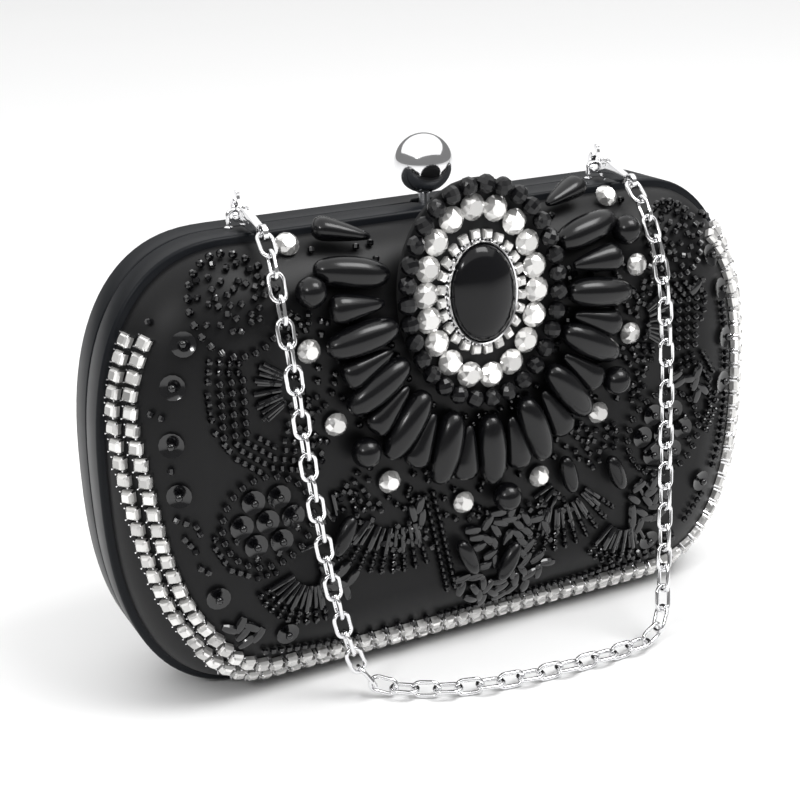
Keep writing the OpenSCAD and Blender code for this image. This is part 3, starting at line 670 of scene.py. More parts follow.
class BAG_OT_studio(bpy.types.Operator):
    """Lays the floor, sets the lights and places the camera"""

    bl_idname = "bag.studio"
    bl_label = "Studio"
    bl_options = {"REGISTER", "UNDO"}

    def execute(self, context):
        scene = context.scene
        bm = bmesh.new()
        bmesh.ops.create_circle(bm, cap_ends=True, segments=96, radius=6)
        mesh = bpy.data.meshes.new("studio_floor")
        bm.to_mesh(mesh)
        bm.free()
        mesh.materials.append(pale_floor())
        floor = bpy.data.objects.new("studio_floor", mesh)
        scene.collection.objects.link(floor)
        self.camera(scene)
        for name, place, aim, size, power in (
            ("ceiling_light", (0, 1, 3), (0, 1, 0), (10, 10), 335),
            ("key_light", (0.4, -0.45, 1), (0, 0, 0.06), (0.62, 0.45), 7.8),
            ("left_light", (-0.9, -0.6, 0.8), (0, 0, 0.06), (0.16, 0.16), 2.4),
        ):
            self.light(scene, name, Vector(place), Vector(aim), size, power)
        self.surround(scene)
        return {"FINISHED"}

    def surround(self, scene):
        """A white backdrop that gives the object only a dim, even fill."""
        world = bpy.data.worlds.new("studio_world")
        world.use_nodes = True
        nodes, links = world.node_tree.nodes, world.node_tree.links
        fill, backdrop = nodes["Background"], nodes.new("ShaderNodeBackground")
        for node, strength in ((fill, 0.25), (backdrop, 1.0)):
            node.inputs["Color"].default_value = (1, 1, 1, 1)
            node.inputs["Strength"].default_value = strength
        seen = nodes.new("ShaderNodeLightPath").outputs["Is Camera Ray"]
        choice = nodes.new("ShaderNodeMixShader")
        links.new(seen, choice.inputs["Fac"])
        links.new(fill.outputs["Background"], choice.inputs[1])
        links.new(backdrop.outputs["Background"], choice.inputs[2])
        links.new(choice.outputs["Shader"], nodes["World Output"].inputs["Surface"])
        scene.world = world
        scene.view_settings.view_transform = "Standard"

    def camera(self, scene):
        data = bpy.data.cameras.new("camera")
        data.sensor_width = 36
        data.lens = 68.3
        data.clip_start = 0.01
        camera = bpy.data.objects.new("camera", data)
        scene.collection.objects.link(camera)
        place = Vector((-0.1746, -0.3348, 0.1966))
        ahead = Vector((0.4146, 0.8471, -0.3325)).normalized()
        up = Vector((0.1766, 0.2835, 0.9426))
        camera.matrix_world = facing(place, -ahead, ahead.cross(up))
        scene.camera = camera

    def light(self, scene, name, place, aim, size, power):
        data = bpy.data.lights.new(name, "AREA")
        data.shape = "RECTANGLE"
        data.size, data.size_y = size
        data.energy = power
        lamp = bpy.data.objects.new(name, data)
        scene.collection.objects.link(lamp)
        lamp.matrix_world = facing(place, place - aim, Vector((1, 0, 0)))


class BAG_OT_frames(bpy.types.Operator):
    """Builds the two lacquered frame bands"""

    bl_idname = "bag.frames"
    bl_label = "Frame bands"
    bl_options = {"REGISTER", "UNDO"}

    def execute(self, context):
        self.band("front_band", "front_half", "front_frame", -1, 2.0 * MM)
        self.band("back_band", "back_half", "back_frame", 1, 3.2 * MM)
        return {"FINISHED"}

    def band(self, name, body, node, side, stem_slot):
        sizes = bpy.context.scene.bag_body
        gap, channel, channel_top, slot_half = 0.1 * MM, 2.6 * MM, 4.4 * MM, 2.2 * MM
        flange = HALF_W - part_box("front_shell")[1].x + 1.75 * MM
        wall, edge, lip = sizes.band_wall, sizes.outer_edge, sizes.parting_edge

        def start(x, z):
            if z < channel_top:
                return channel
            if z > HEIGHT - 2 * wall and abs(x) <= slot_half:
                return stem_slot
            return gap

        # Each ring is an inset, a share of the way from the start to the band's depth, and an offset.
        arc = [math.radians(a) for a in (0, 30, 60, 90)]
        rings = [(wall, 0, 0)]
        rings += [(lip - lip * math.sin(a), 0, lip - lip * math.cos(a)) for a in arc]
        rings += [(edge - edge * math.cos(a), 1, edge * math.sin(a) - edge) for a in arc]
        rings += [(flange, 1, 0), (flange, 1, -wall), (wall, 1, -wall)]
        points = []
        for inset, share, offset in rings:
            ring = []
            for (x, z), at_edge in zip(outline(inset, 26, 56), outline(0, 26, 56)):
                begin = start(*at_edge)
                ring.append((x, PARTING + side * (begin + (BAND - begin) * share + offset), z))
            points.append(ring)
        bm = swept(points, "joined")
        bmesh.ops.remove_doubles(bm, verts=bm.verts, dist=1e-7)
        make_piece(name, bm, black_lacquer(), body, [node], crease=50)


class BAG_OT_panels(bpy.types.Operator):
    """Builds the satin covers and the linings"""

    bl_idname = "bag.panels"
    bl_label = "Satin panels and linings"
    bl_options = {"REGISTER", "UNDO"}

    def execute(self, context):
        sizes = context.scene.bag_body
        for half, side, depth in (("front", -1, FRONT_DEPTH), ("back", 1, BACK_DEPTH)):
            rings = panel_rings(sizes.satin_thickness, depth)[::-1] + panel_rings(0, depth)
            bm = swept(ring_points(rings, side, corner_steps=26, run_steps=20))
            body = half + "_half"
            make_piece(half + "_satin", bm, black_satin(), body, [half + "_cover"], crease=60)
            inner = LINING_INSET - GROOVE
            lining = [(GROOVE + inner, BAND - sizes.band_wall)] + panel_rings(inner, depth)
            deeper = inner + sizes.lining_thickness
            face = [(GROOVE + deeper, BAND - sizes.band_wall)] + panel_rings(deeper, depth)
            bm = swept(ring_points(lining[::-1] + face, side, corner_steps=18, run_steps=12))
            name = half + "_lining"
            make_piece(name + "_cloth", bm, woven_lining(), body, [name], crease=60)
        dress(grey_board(), "front_shell", "back_shell")
        return {"FINISHED"}


class BAG_OT_fittings(bpy.types.Operator):
    """Finishes the hinge, the clasp's lever and bracket, and the catch"""

    bl_idname = "bag.fittings"
    bl_label = "Hinge and clasp fittings"
    bl_options = {"REGISTER", "UNDO"}

    def execute(self, context):
        bodies = {
            "front_hinge_leaf": "front_half",
            "clasp_bracket": "front_half",
            "back_hinge_leaf": "back_half",
            "catch_plate": "back_half",
            "clasp_lever": "ball_clasp",
        }
        for node, body in bodies.items():
            bm = softened(node, 0.12 * MM)
            make_piece(node + "_soft", bm, brushed_fittings(), body, [node], crease=35)
        dress(brushed_fittings(), "hinge_pin", "clasp_pin", "clasp_spring")
        dress(bright_silver(), "clasp_rivet_left", "clasp_rivet_right")
        return {"FINISHED"}


class BAG_OT_ball(bpy.types.Operator):
    """Turns the ball of the clasp and its collar"""

    bl_idname = "bag.ball"
    bl_label = "Clasp ball"
    bl_options = {"REGISTER", "UNDO"}

    def execute(self, context):
        middle = (BALL_LOW + BALL_HIGH) / 2
        radius = (BALL_HIGH.x - BALL_LOW.x) / 2
        neck = 2.1 * MM
        low = -math.acos(neck / radius)
        steps = 28
        profile = [(0, -radius * 0.985), (neck, -radius * 0.985), (neck, radius * math.sin(low))]
        for i in range(1, steps):
            t = low + (math.pi / 2 - low) * i / steps
            profile.append((radius * math.cos(t), radius * math.sin(t)))
        bm = spun([*profile, (0, radius)], 56)
        bmesh.ops.translate(bm, verts=bm.verts, vec=middle)
        make_piece("ball", bm, bright_silver(), "ball_clasp", ["clasp_ball"], crease=50)
        return {"FINISHED"}


class BAG_OT_loops(bpy.types.Operator):
    """Bends the two strap loops and their ferrules"""

    bl_idname = "bag.loops"
    bl_label = "Strap loops"
    bl_options = {"REGISTER", "UNDO"}

    def execute(self, context):
        sizes = context.scene.bag_strap
        radius, half, bend = sizes.loop_wire / 2, sizes.loop_width / 2, 1.2 * MM
        foot = HEIGHT - 1.2 * MM
        for name, x in (("left", -LOOP_AT.x), ("right", LOOP_AT.x)):
            top = LOOP_AT.z
            path = [(-half, foot), (-half, top - bend)]
            corner = [math.radians(a) for a in (22.5, 45, 67.5, 90)]
            path += [(-half + bend - bend * math.cos(a), top - bend + bend * math.sin(a)) for a in corner]
            path += [(-px, pz) for px, pz in reversed(path)]
            wire = tube([(x + px, LOOP_AT.y, pz) for px, pz in path], radius, 14)
            ferrule = [(radius, 0), (1.9 * radius, 0), (1.9 * radius, 0.35 * MM), (radius, 0.7 * MM)]
            rings = [spun([*ferrule, ferrule[0]], 18) for _ in (0, 1)]
            for ring, leg in zip(rings, (-half, half)):
                bmesh.ops.translate(ring, verts=ring.verts, vec=(x + leg, LOOP_AT.y, HEIGHT))
            bm = joined(wire, *rings)
            node = "strap_loop_" + name
            front_metal(name + "_loop", bm, node)
        return {"FINISHED"}


class BAG_OT_clasps(bpy.types.Operator):
    """Rounds the two spring clasps and their triggers"""

    bl_idname = "bag.clasps"
    bl_label = "Spring clasps"
    bl_options = {"REGISTER", "UNDO"}

    def execute(self, context):
        edge = context.scene.bag_strap.clasp_edge
        for side in ("left", "right"):
            for part, node, width in (
                ("clasp", f"strap_clasp_{side}", edge),
                ("trigger", f"clasp_trigger_{side}", edge / 2),
            ):
                name, bm, body = f"{side}_spring_{part}", softened(node, width), f"{side}_{part}"
                make_piece(name, bm, bright_silver(), body, [node], crease=40)
        return {"FINISHED"}


# Depth in front of the parting line, and places, of the strap chain from the left clasp to the right.
STRAP_ROUTE = (
    (-51.4, 21.6, 114.2), (-51.8, 25.5, 109), (-52, 29, 101), (-51.6, 31, 92), (-50.8, 32, 82),
    (-49.8, 32.5, 70), (-48.4, 32.5, 58), (-46.8, 32.5, 46), (-44.6, 32.5, 32), (-42, 32.5, 19),
    (-39, 33, 9), (-35.5, 34.5, 3.6), (-30, 38, 2.6), (-22, 43, 2.6), (-12, 46.5, 2.6),
    (0, 48.5, 2.6), (12, 49.5, 2.6), (24, 49.5, 2.6), (34, 49, 2.6), (40, 48, 3.4),
    (43.4, 46.4, 7.5), (45.2, 44, 15), (47, 41.5, 26), (49, 38.5, 40), (50.6, 36, 54),
    (51.8, 34, 68), (52.2, 32.5, 82), (52, 31.5, 92), (51.6, 29.5, 101), (51.2, 25.5, 109),
    (51, 21.6, 114.2),
)


class BAG_OT_chain(bpy.types.Operator):
    """Links the strap chain along its route"""

    bl_idname = "bag.chain"
    bl_label = "Strap chain"
    bl_options = {"REGISTER", "UNDO"}

    def smooth(self, points, steps=6):
        """A smooth curve through points."""
        curve = []
        last = len(points) - 1
        for i in range(last):
            a, b, c, d = points[max(0, i - 1)], points[i], points[i + 1], points[min(last, i + 2)]
            for s in range(steps):
                t = s / steps
                bend = t * t * (2 * a - 5 * b + 4 * c - d) / 2 + t**3 * (3 * b - a - 3 * c + d) / 2
                curve.append(b + t * (c - a) / 2 + bend)
        return [*curve, points[last]]

    def link(self, sizes):
        """One link, its length along Y, lying flat."""
        bend = (sizes.link_width - sizes.wire) / 2
        half_run = (sizes.link_length - sizes.link_width) / 2
        turns = [math.radians(a) for a in range(0, 181, 20)]
        path = [(bend * math.cos(a), half_run + bend * math.sin(a), 0) for a in turns]
        path += [(-x, -y, 0) for x, y, _ in path]
        return tube(path, sizes.wire / 2, 9, closed=True)

    def execute(self, context):
        sizes = context.scene.bag_strap
        left = TAIL_AT.copy()
        right = Vector((-TAIL_AT.x, TAIL_AT.y, TAIL_AT.z))
        route = [Vector((x * MM, PARTING - d * MM, z * MM)) for x, d, z in STRAP_ROUTE]
        curve = self.smooth([left, *route, right])
        sums = [0.0]
        for a, b in zip(curve, curve[1:]):
            sums.append(sums[-1] + (b - a).length)
        total = sums[-1]

        def at(distance):
            distance = min(max(distance, 0), total)
            i = next(i for i in range(1, len(sums)) if sums[i] >= distance)
            share = (distance - sums[i - 1]) / max(1e-9, sums[i] - sums[i - 1])
            return curve[i - 1].lerp(curve[i], share)

        reach = (sizes.link_length - sizes.wire) / 2
        pitch = sizes.link_length - 2 * sizes.wire - 0.2 * MM
        count = 1 + 2 * math.ceil((total - 2 * reach) / pitch / 2)
        pitch = (total - 2 * reach) / (count - 1)
        frames = []
        for i in range(count):
            start, end = at(i * pitch), at(i * pitch + 2 * reach)
            run = (end - start).normalized()
            even = run.cross(Vector((0, 1, 0))).normalized()
            wide = even if i % 2 == 0 else run.cross(even)
            turn = Matrix((wide, run, wide.cross(run))).transposed().to_4x4()
            frames.append(Matrix.Translation((start + end) / 2) @ turn)
        bm = stamped(self.link(sizes), frames)
        nodes = ["strap_chain_left", "strap_chain_floor", "strap_chain_right"]
        chain = make_piece("strap_chain", bm, bright_silver(), "strap", nodes, crease=60)
        return {"FINISHED"}


# ---- The medallion


def oval_points(width, height, count, z):
    """Points of an oval at a height."""
    turns = [2 * math.pi * i / count for i in range(count)]
    return [(width / 2 * math.cos(a), height / 2 * math.sin(a), z) for a in turns]


def medallion_frame(depth):
    """A frame at the medallion's middle, facing forwards and tilted, at a depth in the row frame."""
    tilt = bpy.context.scene.bag_trim.medallion_tilt
    place = Vector((MEDALLION.x, depth, MEDALLION.z))
    return facing(place, AHEAD, Vector((math.cos(tilt), 0, math.sin(tilt))))


class BAG_OT_medallion(bpy.types.Operator):
    """Builds the medallion's patch, its cabochon and the bezel"""

    bl_idname = "bag.medallion"
    bl_label = "Medallion"
    bl_options = {"REGISTER", "UNDO"}

    def execute(self, context):
        sizes = context.scene.bag_trim
        width, height = sizes.cabochon_width, sizes.cabochon_length
        base = CABOCHON_HIGH.y
        rise = CABOCHON_HIGH.y - CABOCHON_LOW.y
        rings = [oval_points(width, height, 64, 0)]
        for i in range(15):
            t = math.radians(88) * i / 14
            share = math.cos(t) ** 1.12
            rings.append(oval_points(width * share, height * share, 64, rise * (0.2 + 0.8 * math.sin(t))))
        bm = swept(rings)
        bmesh.ops.transform(bm, matrix=medallion_frame(base), verts=bm.verts)
        front_beads("oval_stone", bm, dark_stone(), "cabochon")

        wall, top = 0.7 * MM, 2.2 * MM
        profile = ((wall, 0), (wall, top * 0.8), (wall * 0.6, top), (0.1 * MM, top * 0.9))
        rings = [oval_points(width + 2 * out, height + 2 * out, 64, z) for out, z in profile]
        rings.append(oval_points(width + 0.1 * MM, height + 0.1 * MM, 64, 0))
        rim = swept(rings, "joined")
        bmesh.ops.transform(rim, matrix=medallion_frame(base), verts=rim.verts)
        # A row of tiny grains round the bezel's foot.
        grains = []
        for i in range(60):
            a = 2 * math.pi * i / 60
            out = wall + 0.25 * MM
            foot = ((width / 2 + out) * math.cos(a), (height / 2 + out) * math.sin(a), 0.9 * MM)
            grains.append(medallion_frame(base) @ Matrix.Translation(foot))
        ball = bmesh.new()
        bmesh.ops.create_icosphere(ball, subdivisions=1, radius=0.42 * MM)
        bm = joined(rim, stamped(ball, grains))
        bmesh.ops.remove_doubles(bm, verts=bm.verts, dist=1e-7)
        front_metal("bezel", bm, "cabochon_bezel")

        node = "medallion_backing"
        low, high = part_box(node)
        bm = softened(node, (high.y - low.y) * 0.3, sharp=60, clamped=False)
        make_piece("medallion_patch", bm, black_felt(), "front_half", [node], crease=60)
        return {"FINISHED"}


def brilliant(diameter, height):
    """A round stone with a table, kite facets and a girdle."""
    r = diameter / 2
    points = circle_points(r * 0.55, height, 8)
    points += circle_points(r * 0.83, height * 0.72, 8, 0.5)
    points += circle_points(r, height * 0.42, 16)
    points += circle_points(r, height * 0.3, 16) + circle_points(r * 0.7, 0, 16)
    return hull_of(points)


def square_cut(side, height):
    """A square stone with bevelled corners and a table."""
    h = side / 2
    points = []
    tiers = ((0.95, 0, 0.2), (1, 0.5, 0.16), (0.78, 0.82, 0.25), (0.55, 1, 0.2))
    for reach, rise, cut in tiers:
        a, b = h * reach, h * reach * (1 - cut)
        for x, y in ((a, b), (b, a), (-b, a), (-a, b), (-a, -b), (-b, -a), (b, -a), (a, -b)):
            points.append((x, y, height * rise))
    return hull_of(points)


def cup(radius, height, wall=0.25 * MM, sides=16):
    """A thin metal cup that holds a stone."""
    outer = radius + wall
    return spun([(0, 0), (outer * 0.75, 0), (outer, height * 0.5), (outer, height), (radius, height)], sides)


def claws(reach, height, size):
    """Four claws at the corners of a square setting."""
    bm = bmesh.new()
    for x in (-reach, reach):
        for y in (-reach, reach):
            made = bmesh.ops.create_cone(
                bm, cap_ends=True, segments=6, radius1=size, radius2=size * 0.6, depth=height
            )
            bmesh.ops.translate(bm, verts=made["verts"], vec=(x, y, height / 2))
    return bm


class BAG_OT_halo(bpy.types.Operator):
    """Sets the small square stones and the large round stones round the cabochon"""

    bl_idname = "bag.halo"
    bl_label = "Halo stones"
    bl_options = {"REGISTER", "UNDO"}

    def execute(self, context):
        sizes = context.scene.bag_trim
        for name, node, stone, sink in (
            ("halo_stones", "halo_stones_outer", brilliant(sizes.halo_stone, 3 * MM), 1.5 * MM),
            ("small_stones", "halo_stones_inner", square_cut(sizes.small_stone, 2 * MM), 1 * MM),
        ):
            places = [s[0] for s in solids_of(node)]
            frames = [facing(place - AHEAD * sink, AHEAD, place - MEDALLION) for place in places]
            front_stones(name, stamped(stone, frames), node)
            if name == "halo_stones":
                front_metal("halo_cups", stamped(cup(sizes.halo_stone * 0.46, 0.9 * MM), frames))
        return {"FINISHED"}


def facet_bead(diameter, around=10, rows=7):
    """A roundish bead with flat facets."""
    bm = bmesh.new()
    bmesh.ops.create_uvsphere(bm, u_segments=around, v_segments=rows, radius=diameter / 2)
    return bm


def turned(length_value, width, fullness, around=20, steps=14):
    """A bead turned about X, thickest at its middle."""
    profile = [(0, -length_value / 2)]
    for i in range(1, steps):
        t = math.pi * i / steps
        profile.append((width / 2 * math.sin(t) ** fullness, -length_value / 2 * math.cos(t)))
    return laid(spun([*profile, (0, length_value / 2)], around))


def bugle_bead(radius, long, sides=8):
    """A short tube along X, with softened rims."""
    half = long / 2
    profile = [(0.3 * radius, -half), (radius * 0.85, -half), (radius, -half * 0.93), (radius, half * 0.93)]
    profile += [(radius * 0.85, half), (0.3 * radius, half), (0.3 * radius, -half)]
    return laid(spun(profile, sides))


def seed_bead(size, sides=8):
    """A small ring of glass, its hole along Y."""
    turns = [math.radians(a) for a in (-108, -36, 36, 108, 180)]
    ring = [(size * (0.33 + 0.2 * math.cos(a)), size * 0.42 * math.sin(a)) for a in turns]
    bm = spun([*ring, ring[0]], sides)
    bmesh.ops.rotate(bm, verts=bm.verts, cent=(0, 0, 0), matrix=Matrix.Rotation(math.radians(62), 3, "X"))
    return bm


def leaf_bead(long, width):
    """A small flattened pod along X."""
    bm = turned(long, width, 0.75, around=8, steps=6)
    bmesh.ops.scale(bm, verts=bm.verts, vec=(1, 1, 0.7))
    return bm


def lying(node):
    """A frame at each long bead of a node, with X along the bead, away from the medallion's middle."""
    frames = []
    for middle, _, along, outward in solids_of(node):
        if along.dot(middle - MEDALLION) < 0:
            along = -along
        frames.append(facing(middle, (outward - along * outward.dot(along) / along.length_squared), along))
    return frames


class BAG_OT_collar(bpy.types.Operator):
    """Strings the collar of roundish faceted beads"""

    bl_idname = "bag.collar"
    bl_label = "Collar beads"
    bl_options = {"REGISTER", "UNDO"}

    def execute(self, context):
        draw = random.Random(3)
        frames = []
        for middle, _, _, _ in solids_of("collar_beads"):
            turn = Matrix.Rotation(draw.uniform(0, 6.3), 4, "Z") @ Matrix.Rotation(draw.uniform(0, 3), 4, "X")
            frames.append(Matrix.Translation(middle) @ turn)
        bm = stamped(facet_bead(context.scene.bag_trim.collar_bead, 9, 6), frames)
        front_beads("collar", bm, matte_bead(), "collar_beads", crease=5)
        return {"FINISHED"}


class BAG_OT_petals(bpy.types.Operator):
    """Lays the long beads and the drop beads that fan out from the medallion"""

    bl_idname = "bag.petals"
    bl_label = "Petal beads"
    bl_options = {"REGISTER", "UNDO"}

    def drop(self, length_value, width):
        """A flattened drop, its broad end outwards."""
        profile = ((0, -0.5), (0.13, -0.46), (0.24, -0.32), (0.36, -0.08), (0.46, 0.15), (0.5, 0.3))
        profile += ((0.46, 0.4), (0.34, 0.47), (0.16, 0.495), (0, 0.5))
        bm = laid(spun([(r * width, z * length_value) for r, z in profile], 20))
        bmesh.ops.scale(bm, verts=bm.verts, vec=(1, 1, 0.8))
        return bm

    def execute(self, context):
        sizes = context.scene.bag_trim
        long, width = sizes.petal_length, sizes.petal_width
        for name, node, bead in (
            ("long_petals", "petal_beads_long", turned(long, width, 0.74)),
            ("drop_petals", "petal_beads_drop", self.drop(long * 0.76, width * 0.92)),
        ):
            front_beads(name, stamped(bead, lying(node)), polished_bead(), node)
        return {"FINISHED"}


class BAG_OT_accents(bpy.types.Operator):
    """Sets the round beads and the clear accent stones outside the petals"""

    bl_idname = "bag.accents"
    bl_label = "Round beads and accents"
    bl_options = {"REGISTER", "UNDO"}

    def execute(self, context):
        sizes = context.scene.bag_trim
        ball = facet_bead(sizes.round_bead, 28, 16)
        frames = [Matrix.Translation(s[0]) for s in solids_of("round_beads")]
        front_beads("big_round_beads", stamped(ball, frames), polished_bead(), "round_beads")
        frames = []
        for middle, normal, _, _ in solids_of("accent_stones"):
            ahead = (normal + 1.5 * AHEAD).normalized()
            frames.append(facing(middle - ahead * 1.5 * MM, ahead, Vector((1, 0, 0))))
        stone = brilliant(sizes.accent_stone * 0.98, 3 * MM)
        front_stones("accent_gems", stamped(stone, frames), "accent_stones")
        front_metal("accent_cups", stamped(cup(sizes.accent_stone * 0.45, 1 * MM), frames))
        return {"FINISHED"}


class BAG_OT_border(bpy.types.Operator):
    """Sets the two rows of square stones round the edge"""

    bl_idname = "bag.border"
    bl_label = "Border stones"
    bl_options = {"REGISTER", "UNDO"}

    def execute(self, context):
        side = context.scene.bag_trim.border_stone
        for row in ("outer", "inner"):
            node = f"border_stones_{row}"
            frames = []
            for middle, normal, _, outward in solids_of(node):
                level = Vector((0, 0, 1)) if abs(outward.x) > abs(outward.z) else Vector((1, 0, 0))
                fall = Vector((outward.x, 0, outward.z))
                along = fall.cross(Vector((0, 1, 0))) if fall.length > 0.05 else level
                frames.append(facing(middle - normal * 1.2 * MM, normal, along))
            front_stones(f"border_{row}", stamped(square_cut(side, 2.4 * MM), frames), node)
            front_metal(f"border_claws_{row}", stamped(claws(side * 0.46, 2 * MM, 0.33 * MM), frames))
        return {"FINISHED"}


class BAG_OT_sequins(bpy.types.Operator):
    """Sews on the cupped sequins and the bead at the middle of each"""

    bl_idname = "bag.sequins"
    bl_label = "Sequins"
    bl_options = {"REGISTER", "UNDO"}

    def execute(self, context):
        sizes = context.scene.bag_trim
        r = sizes.sequin / 2
        thick = 0.18 * MM
        profile = [(0.16 * r, 0), (0.55 * r, 0.05 * MM), (0.98 * r, 0.5 * MM), (r, 0.5 * MM + thick)]
        profile += [(0.55 * r, 0.05 * MM + thick), (0.16 * r, thick), (0.16 * r, 0)]
        frames = []
        for middle, normal, _, _ in solids_of("sequins"):
            frames.append(facing(middle - normal * 0.2 * MM, normal, Vector((1, 0, 0.3))))
        front_beads("cupped_sequins", stamped(spun(profile, 14), frames), cut_glass(), "sequins", crease=20)
        frames = [Matrix.Translation(s[0]) for s in solids_of("sequin_beads")]
        bm = stamped(facet_bead(sizes.seed, 8, 6), frames)
        front_beads("sequin_seeds", bm, cut_glass(), "sequin_beads", crease=70)
        return {"FINISHED"}


class BAG_OT_seeds(bpy.types.Operator):
    """Sews on the seed beads of the rings and rows"""

    bl_idname = "bag.seeds"
    bl_label = "Seed beads"
    bl_options = {"REGISTER", "UNDO"}

    def execute(self, context):
        along = Vector((1, 0, 0.4))
        frames = [facing(middle, outward, along) for middle, _, _, outward in solids_of("seed_beads")]
        bm = stamped(seed_bead(context.scene.bag_trim.seed, 10), frames)
        front_beads("seeds", bm, cut_glass(), "seed_beads", crease=40)
        return {"FINISHED"}


class BAG_OT_bugles(bpy.types.Operator):
    """Sews on the fans of bugle beads and the pod beads"""

    bl_idname = "bag.bugles"
    bl_label = "Bugles and pods"
    bl_options = {"REGISTER", "UNDO"}

    def execute(self, context):
        bm = stamped(bugle_bead(0.7 * MM, 7 * MM), lying("bugle_beads"))
        front_beads("bugles", bm, cut_glass(), "bugle_beads", crease=40)
        bm = stamped(turned(11 * MM, 4.7 * MM, 0.8), lying("pod_beads"))
        front_beads("pods", bm, polished_bead(), "pod_beads")
        return {"FINISHED"}


# ---- Embroidery. Places on the front view are in millimetres.

# Loose seed beads: middle, half width and half height of a patch, and how many beads.
SEED_PATCHES = (
    (-62, 105.5, 9, 8.8, 60), (61.4, 101.5, 7.4, 7.4, 34), (58.5, 49, 9, 9, 26), (-58, 49, 9, 9, 26),
    (-46, 70, 6, 11, 44), (-46.5, 97, 3.6, 9, 22), (-34, 48, 7, 8, 34), (-20, 34, 8, 7, 26),
    (20, 33, 9, 7, 30), (36, 52, 7, 8, 36), (48, 72, 6, 12, 40), (49, 94, 4.4, 9, 26),
    (-2, 41, 9, 4, 22), (66, 84, 5, 9, 26), (-81, 99, 3, 4, 8), (76, 104, 4, 3, 8),
)
# Leaf beads: middle, half width and half height of a patch, and how many beads.
LEAF_PATCHES = (
    (7, 25, 15, 13, 74), (66, 57, 7.5, 12, 34), (-67, 20.5, 6, 4, 12), (-40, 31, 5, 6, 14),
    (52, 30, 7, 7, 20), (-58, 49, 8, 8, 10), (61, 90, 6, 5, 10), (-14, 43, 5, 4, 8), (73, 52, 3, 6, 8),
)
# Fans: middle, first and last angle, how far out the bugles lie, how many, and the seeds at their tips.
TIPPED_FANS = (
    (-21.5, 54, 226, 284, 14, 9, 3), (24, 46, 250, 320, 11, 9, 3), (46, 30, 222, 300, 6, 8, 2),
    (-46, 36, 200, 278, 6, 9, 2), (-46, 82, 145, 215, 6, 7, 0), (46, 82, -35, 35, 6, 7, 0),
    (46, 42, 300, 390, 6, 7, 0), (27, 44, 150, 240, 5, 6, 0), (-38.5, 42, 100, 190, 5, 6, 0),
)
# Lines of seeds: how many rows side by side, and the points that they follow.
SEED_LINES = (
    (4, ((-65, 93), (-66.5, 84), (-66, 76), (-62, 69.5), (-55, 64), (-48, 62))),
    (2, ((-69.5, 52), (-70, 46), (-67, 40), (-61, 36.6), (-54, 37))),
    (2, ((62.5, 68), (69, 69.5), (73.6, 62), (74, 53), (70, 46.5))),
    (3, ((59, 92), (64, 86), (66, 78), (64, 70))),
    (2, ((-14, 47), (-12, 38), (-10, 28), (-8, 18))),
    (1, ((-82, 80), (-78, 78))), (1, ((-81.5, 66), (-77, 66.5))), (1, ((-79, 54), (-75, 52), (-73.6, 48))),
    (1, ((-77.6, 49), (-75.4, 45.6), (-73, 46))), (1, ((-74.6, 41), (-71.4, 38.4))),
    (2, ((-60, 13.5), (-45, 11), (-30, 10), (-10, 10), (15, 10), (35, 10.5), (52, 13), (64, 19))),
    (1, ((66, 22), (73, 30), (78, 42), (79.6, 56), (79, 72), (76, 88))),
)


class Sewing:
    """Where beads are sewn to the front panel, and the places already taken."""

    def __init__(self):
        self.draw = random.Random(bpy.context.scene.bag_trim.shade_seed)
        self.taken = []
        for node, reach in (
            ("petal_beads_long", 2.9),
            ("petal_beads_drop", 2.5),
            ("round_beads", 3.9),
            ("accent_stones", 3.1),
            ("pod_beads", 2.2),
            ("sequins", 2.2),
            ("border_stones_inner", 2.2),
            ("border_stones_outer", 2),
            ("seed_beads", 0.8),
            ("collar_beads", 2.4),
        ):
            for middle, _, along, _ in solids_of(node):
                for step in (-0.3, 0, 0.3):
                    spot = (middle + along * step) / MM
                    self.taken.append((spot.x, spot.z, reach))

    def free(self, x, z, reach):
        return all(math.hypot(x - a, z - b) > reach + c for a, b, c in self.taken)

    def sew(self, frames, x, z, reach, lift, spin):
        """Adds a frame for a bead where nothing else lies, inside the panel's edge."""
        if inset_at(x * MM, z * MM) > GROOVE + 1.6 * MM and self.free(x, z, reach):
            self.taken.append((x, z, reach))
            frames.append(on_panel(x * MM, z * MM, lift * MM, spin))

    def scatter(self, frames, patch, reach, lift):
        """Sews beads at random inside a patch."""
        x, z, half_w, half_h, count = patch
        for _ in range(count * 4):
            turn, out = self.draw.uniform(0, 2 * math.pi), math.sqrt(self.draw.random())
            spot = (x + half_w * out * math.cos(turn), z + half_h * out * math.sin(turn))
            self.sew(frames, *spot, reach, lift, self.draw.uniform(0, math.pi))


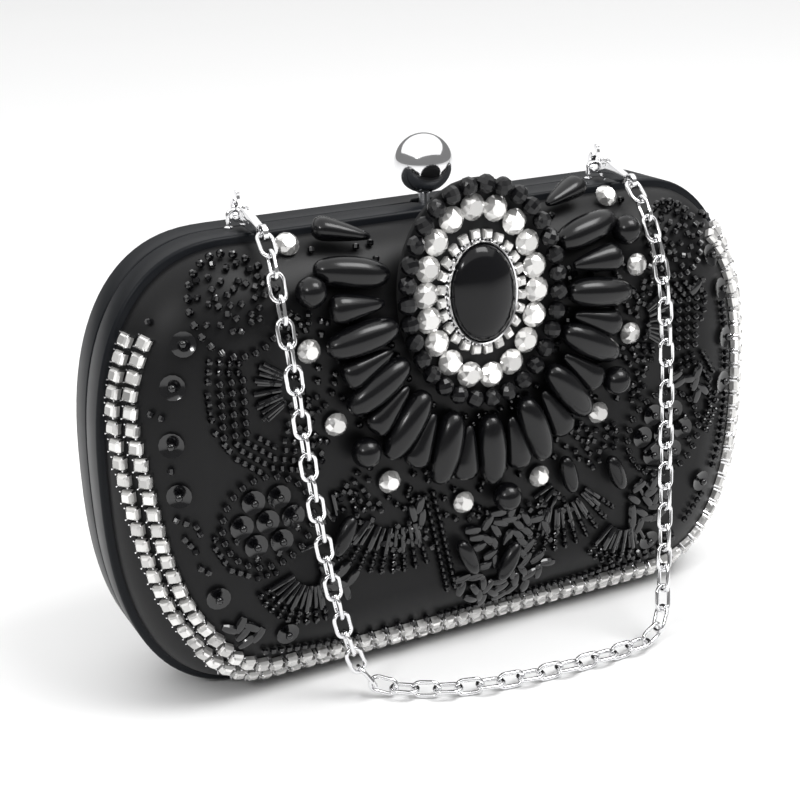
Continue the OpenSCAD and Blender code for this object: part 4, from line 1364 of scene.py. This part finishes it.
class BAG_OT_embroidery(bpy.types.Operator):
    """Fills the panel between the larger beads with seeds, leaves and tipped fans"""

    bl_idname = "bag.embroidery"
    bl_label = "Embroidery"
    bl_options = {"REGISTER", "UNDO"}

    def fans(self, sewing, bugles, seeds):
        for x, z, first, last, out, count, tips in TIPPED_FANS:
            for i in range(count):
                a = math.radians(first + (last - first) * i / (count - 1))
                step = (math.cos(a), math.sin(a))
                middle = out + 3.2
                sewing.sew(bugles, x + step[0] * middle, z + step[1] * middle, 0.45, 0.8, a)
                for tip in range(tips):
                    far = out + 7.6 + 2 * tip
                    sewing.sew(seeds, x + step[0] * far, z + step[1] * far, 0.7, 0.9, a)

    def lines(self, sewing, seeds):
        for rows, points in SEED_LINES:
            for (ax, az), (bx, bz) in zip(points, points[1:]):
                run = math.hypot(bx - ax, bz - az)
                side = ((az - bz) / run, (bx - ax) / run)
                count = max(2, round(run / 2.1))
                for i in range(count):
                    for row in range(rows):
                        off = (row - (rows - 1) / 2) * 2.3
                        x = ax + (bx - ax) * i / count + side[0] * off
                        z = az + (bz - az) * i / count + side[1] * off
                        sewing.sew(seeds, x, z, 0.75, 0.9, math.atan2(bz - az, bx - ax))

    def execute(self, context):
        size = context.scene.bag_trim.seed
        sewing = Sewing()
        bugles, seeds, leaves = [], [], []
        self.fans(sewing, bugles, seeds)
        self.lines(sewing, seeds)
        for patch in LEAF_PATCHES:
            sewing.scatter(leaves, patch, 1.15, 1.1)
        for patch in SEED_PATCHES:
            sewing.scatter(seeds, patch, 0.85, 0.9)
        # Seeds fill the gaps round the outer ends of the petals.
        centre = MEDALLION / MM
        for _ in range(900):
            a = math.radians(sewing.draw.uniform(150, 386))
            out = sewing.draw.uniform(-9, 18)
            spot = (centre.x + (33.5 + out) * math.cos(a), centre.z + (41 + out) * math.sin(a))
            sewing.sew(seeds, *spot, 0.85, 0.9, a)
        parts = (
            ("filling_seeds", seed_bead(size * 0.9), seeds),
            ("filling_bugles", bugle_bead(0.62 * MM, 6 * MM), bugles),
            ("filling_leaves", leaf_bead(5.2 * MM, 2.5 * MM), leaves),
        )
        for name, bead, frames in parts:
            front_beads(name, stamped(bead, frames), cut_glass(), crease=40)
        return {"FINISHED"}


OPERATORS = (
    BAG_OT_studio,
    BAG_OT_chain,
    BAG_OT_frames,
    BAG_OT_panels,
    BAG_OT_fittings,
    BAG_OT_ball,
    BAG_OT_loops,
    BAG_OT_clasps,
    BAG_OT_medallion,
    BAG_OT_halo,
    BAG_OT_collar,
    BAG_OT_petals,
    BAG_OT_accents,
    BAG_OT_border,
    BAG_OT_sequins,
    BAG_OT_seeds,
    BAG_OT_bugles,
    BAG_OT_embroidery,
)
GROUPS = {"bag_body": BagBody, "bag_strap": BagStrap, "bag_trim": BagTrim, "bag_colours": BagColours}


class BAG_PT_panel(bpy.types.Panel):
    """Lists the settings and the steps of the bag."""

    bl_idname = "BAG_PT_panel"
    bl_label = "Evening bag"
    bl_space_type = "VIEW_3D"
    bl_region_type = "UI"
    bl_category = "Bag"

    def draw(self, context):
        for name, group in GROUPS.items():
            box = self.layout.box()
            box.label(text=group.__doc__)
            for key in group.__annotations__:
                box.prop(getattr(context.scene, name), key)
        for operator in OPERATORS:
            self.layout.operator(operator.bl_idname)


def register():
    for name, group in GROUPS.items():
        bpy.utils.register_class(group)
        setattr(bpy.types.Scene, name, PointerProperty(type=group))
    for item in (*OPERATORS, BAG_PT_panel):
        bpy.utils.register_class(item)


def unregister():
    for item in (BAG_PT_panel, *reversed(OPERATORS)):
        bpy.utils.unregister_class(item)
    for name, group in GROUPS.items():
        delattr(bpy.types.Scene, name)
        bpy.utils.unregister_class(group)


def main():
    """Registers the classes and builds every piece in order."""
    register()
    for operator in OPERATORS:
        group, name = operator.bl_idname.split(".")
        getattr(getattr(bpy.ops, group), name)()


if __name__ == "__main__":
    main()
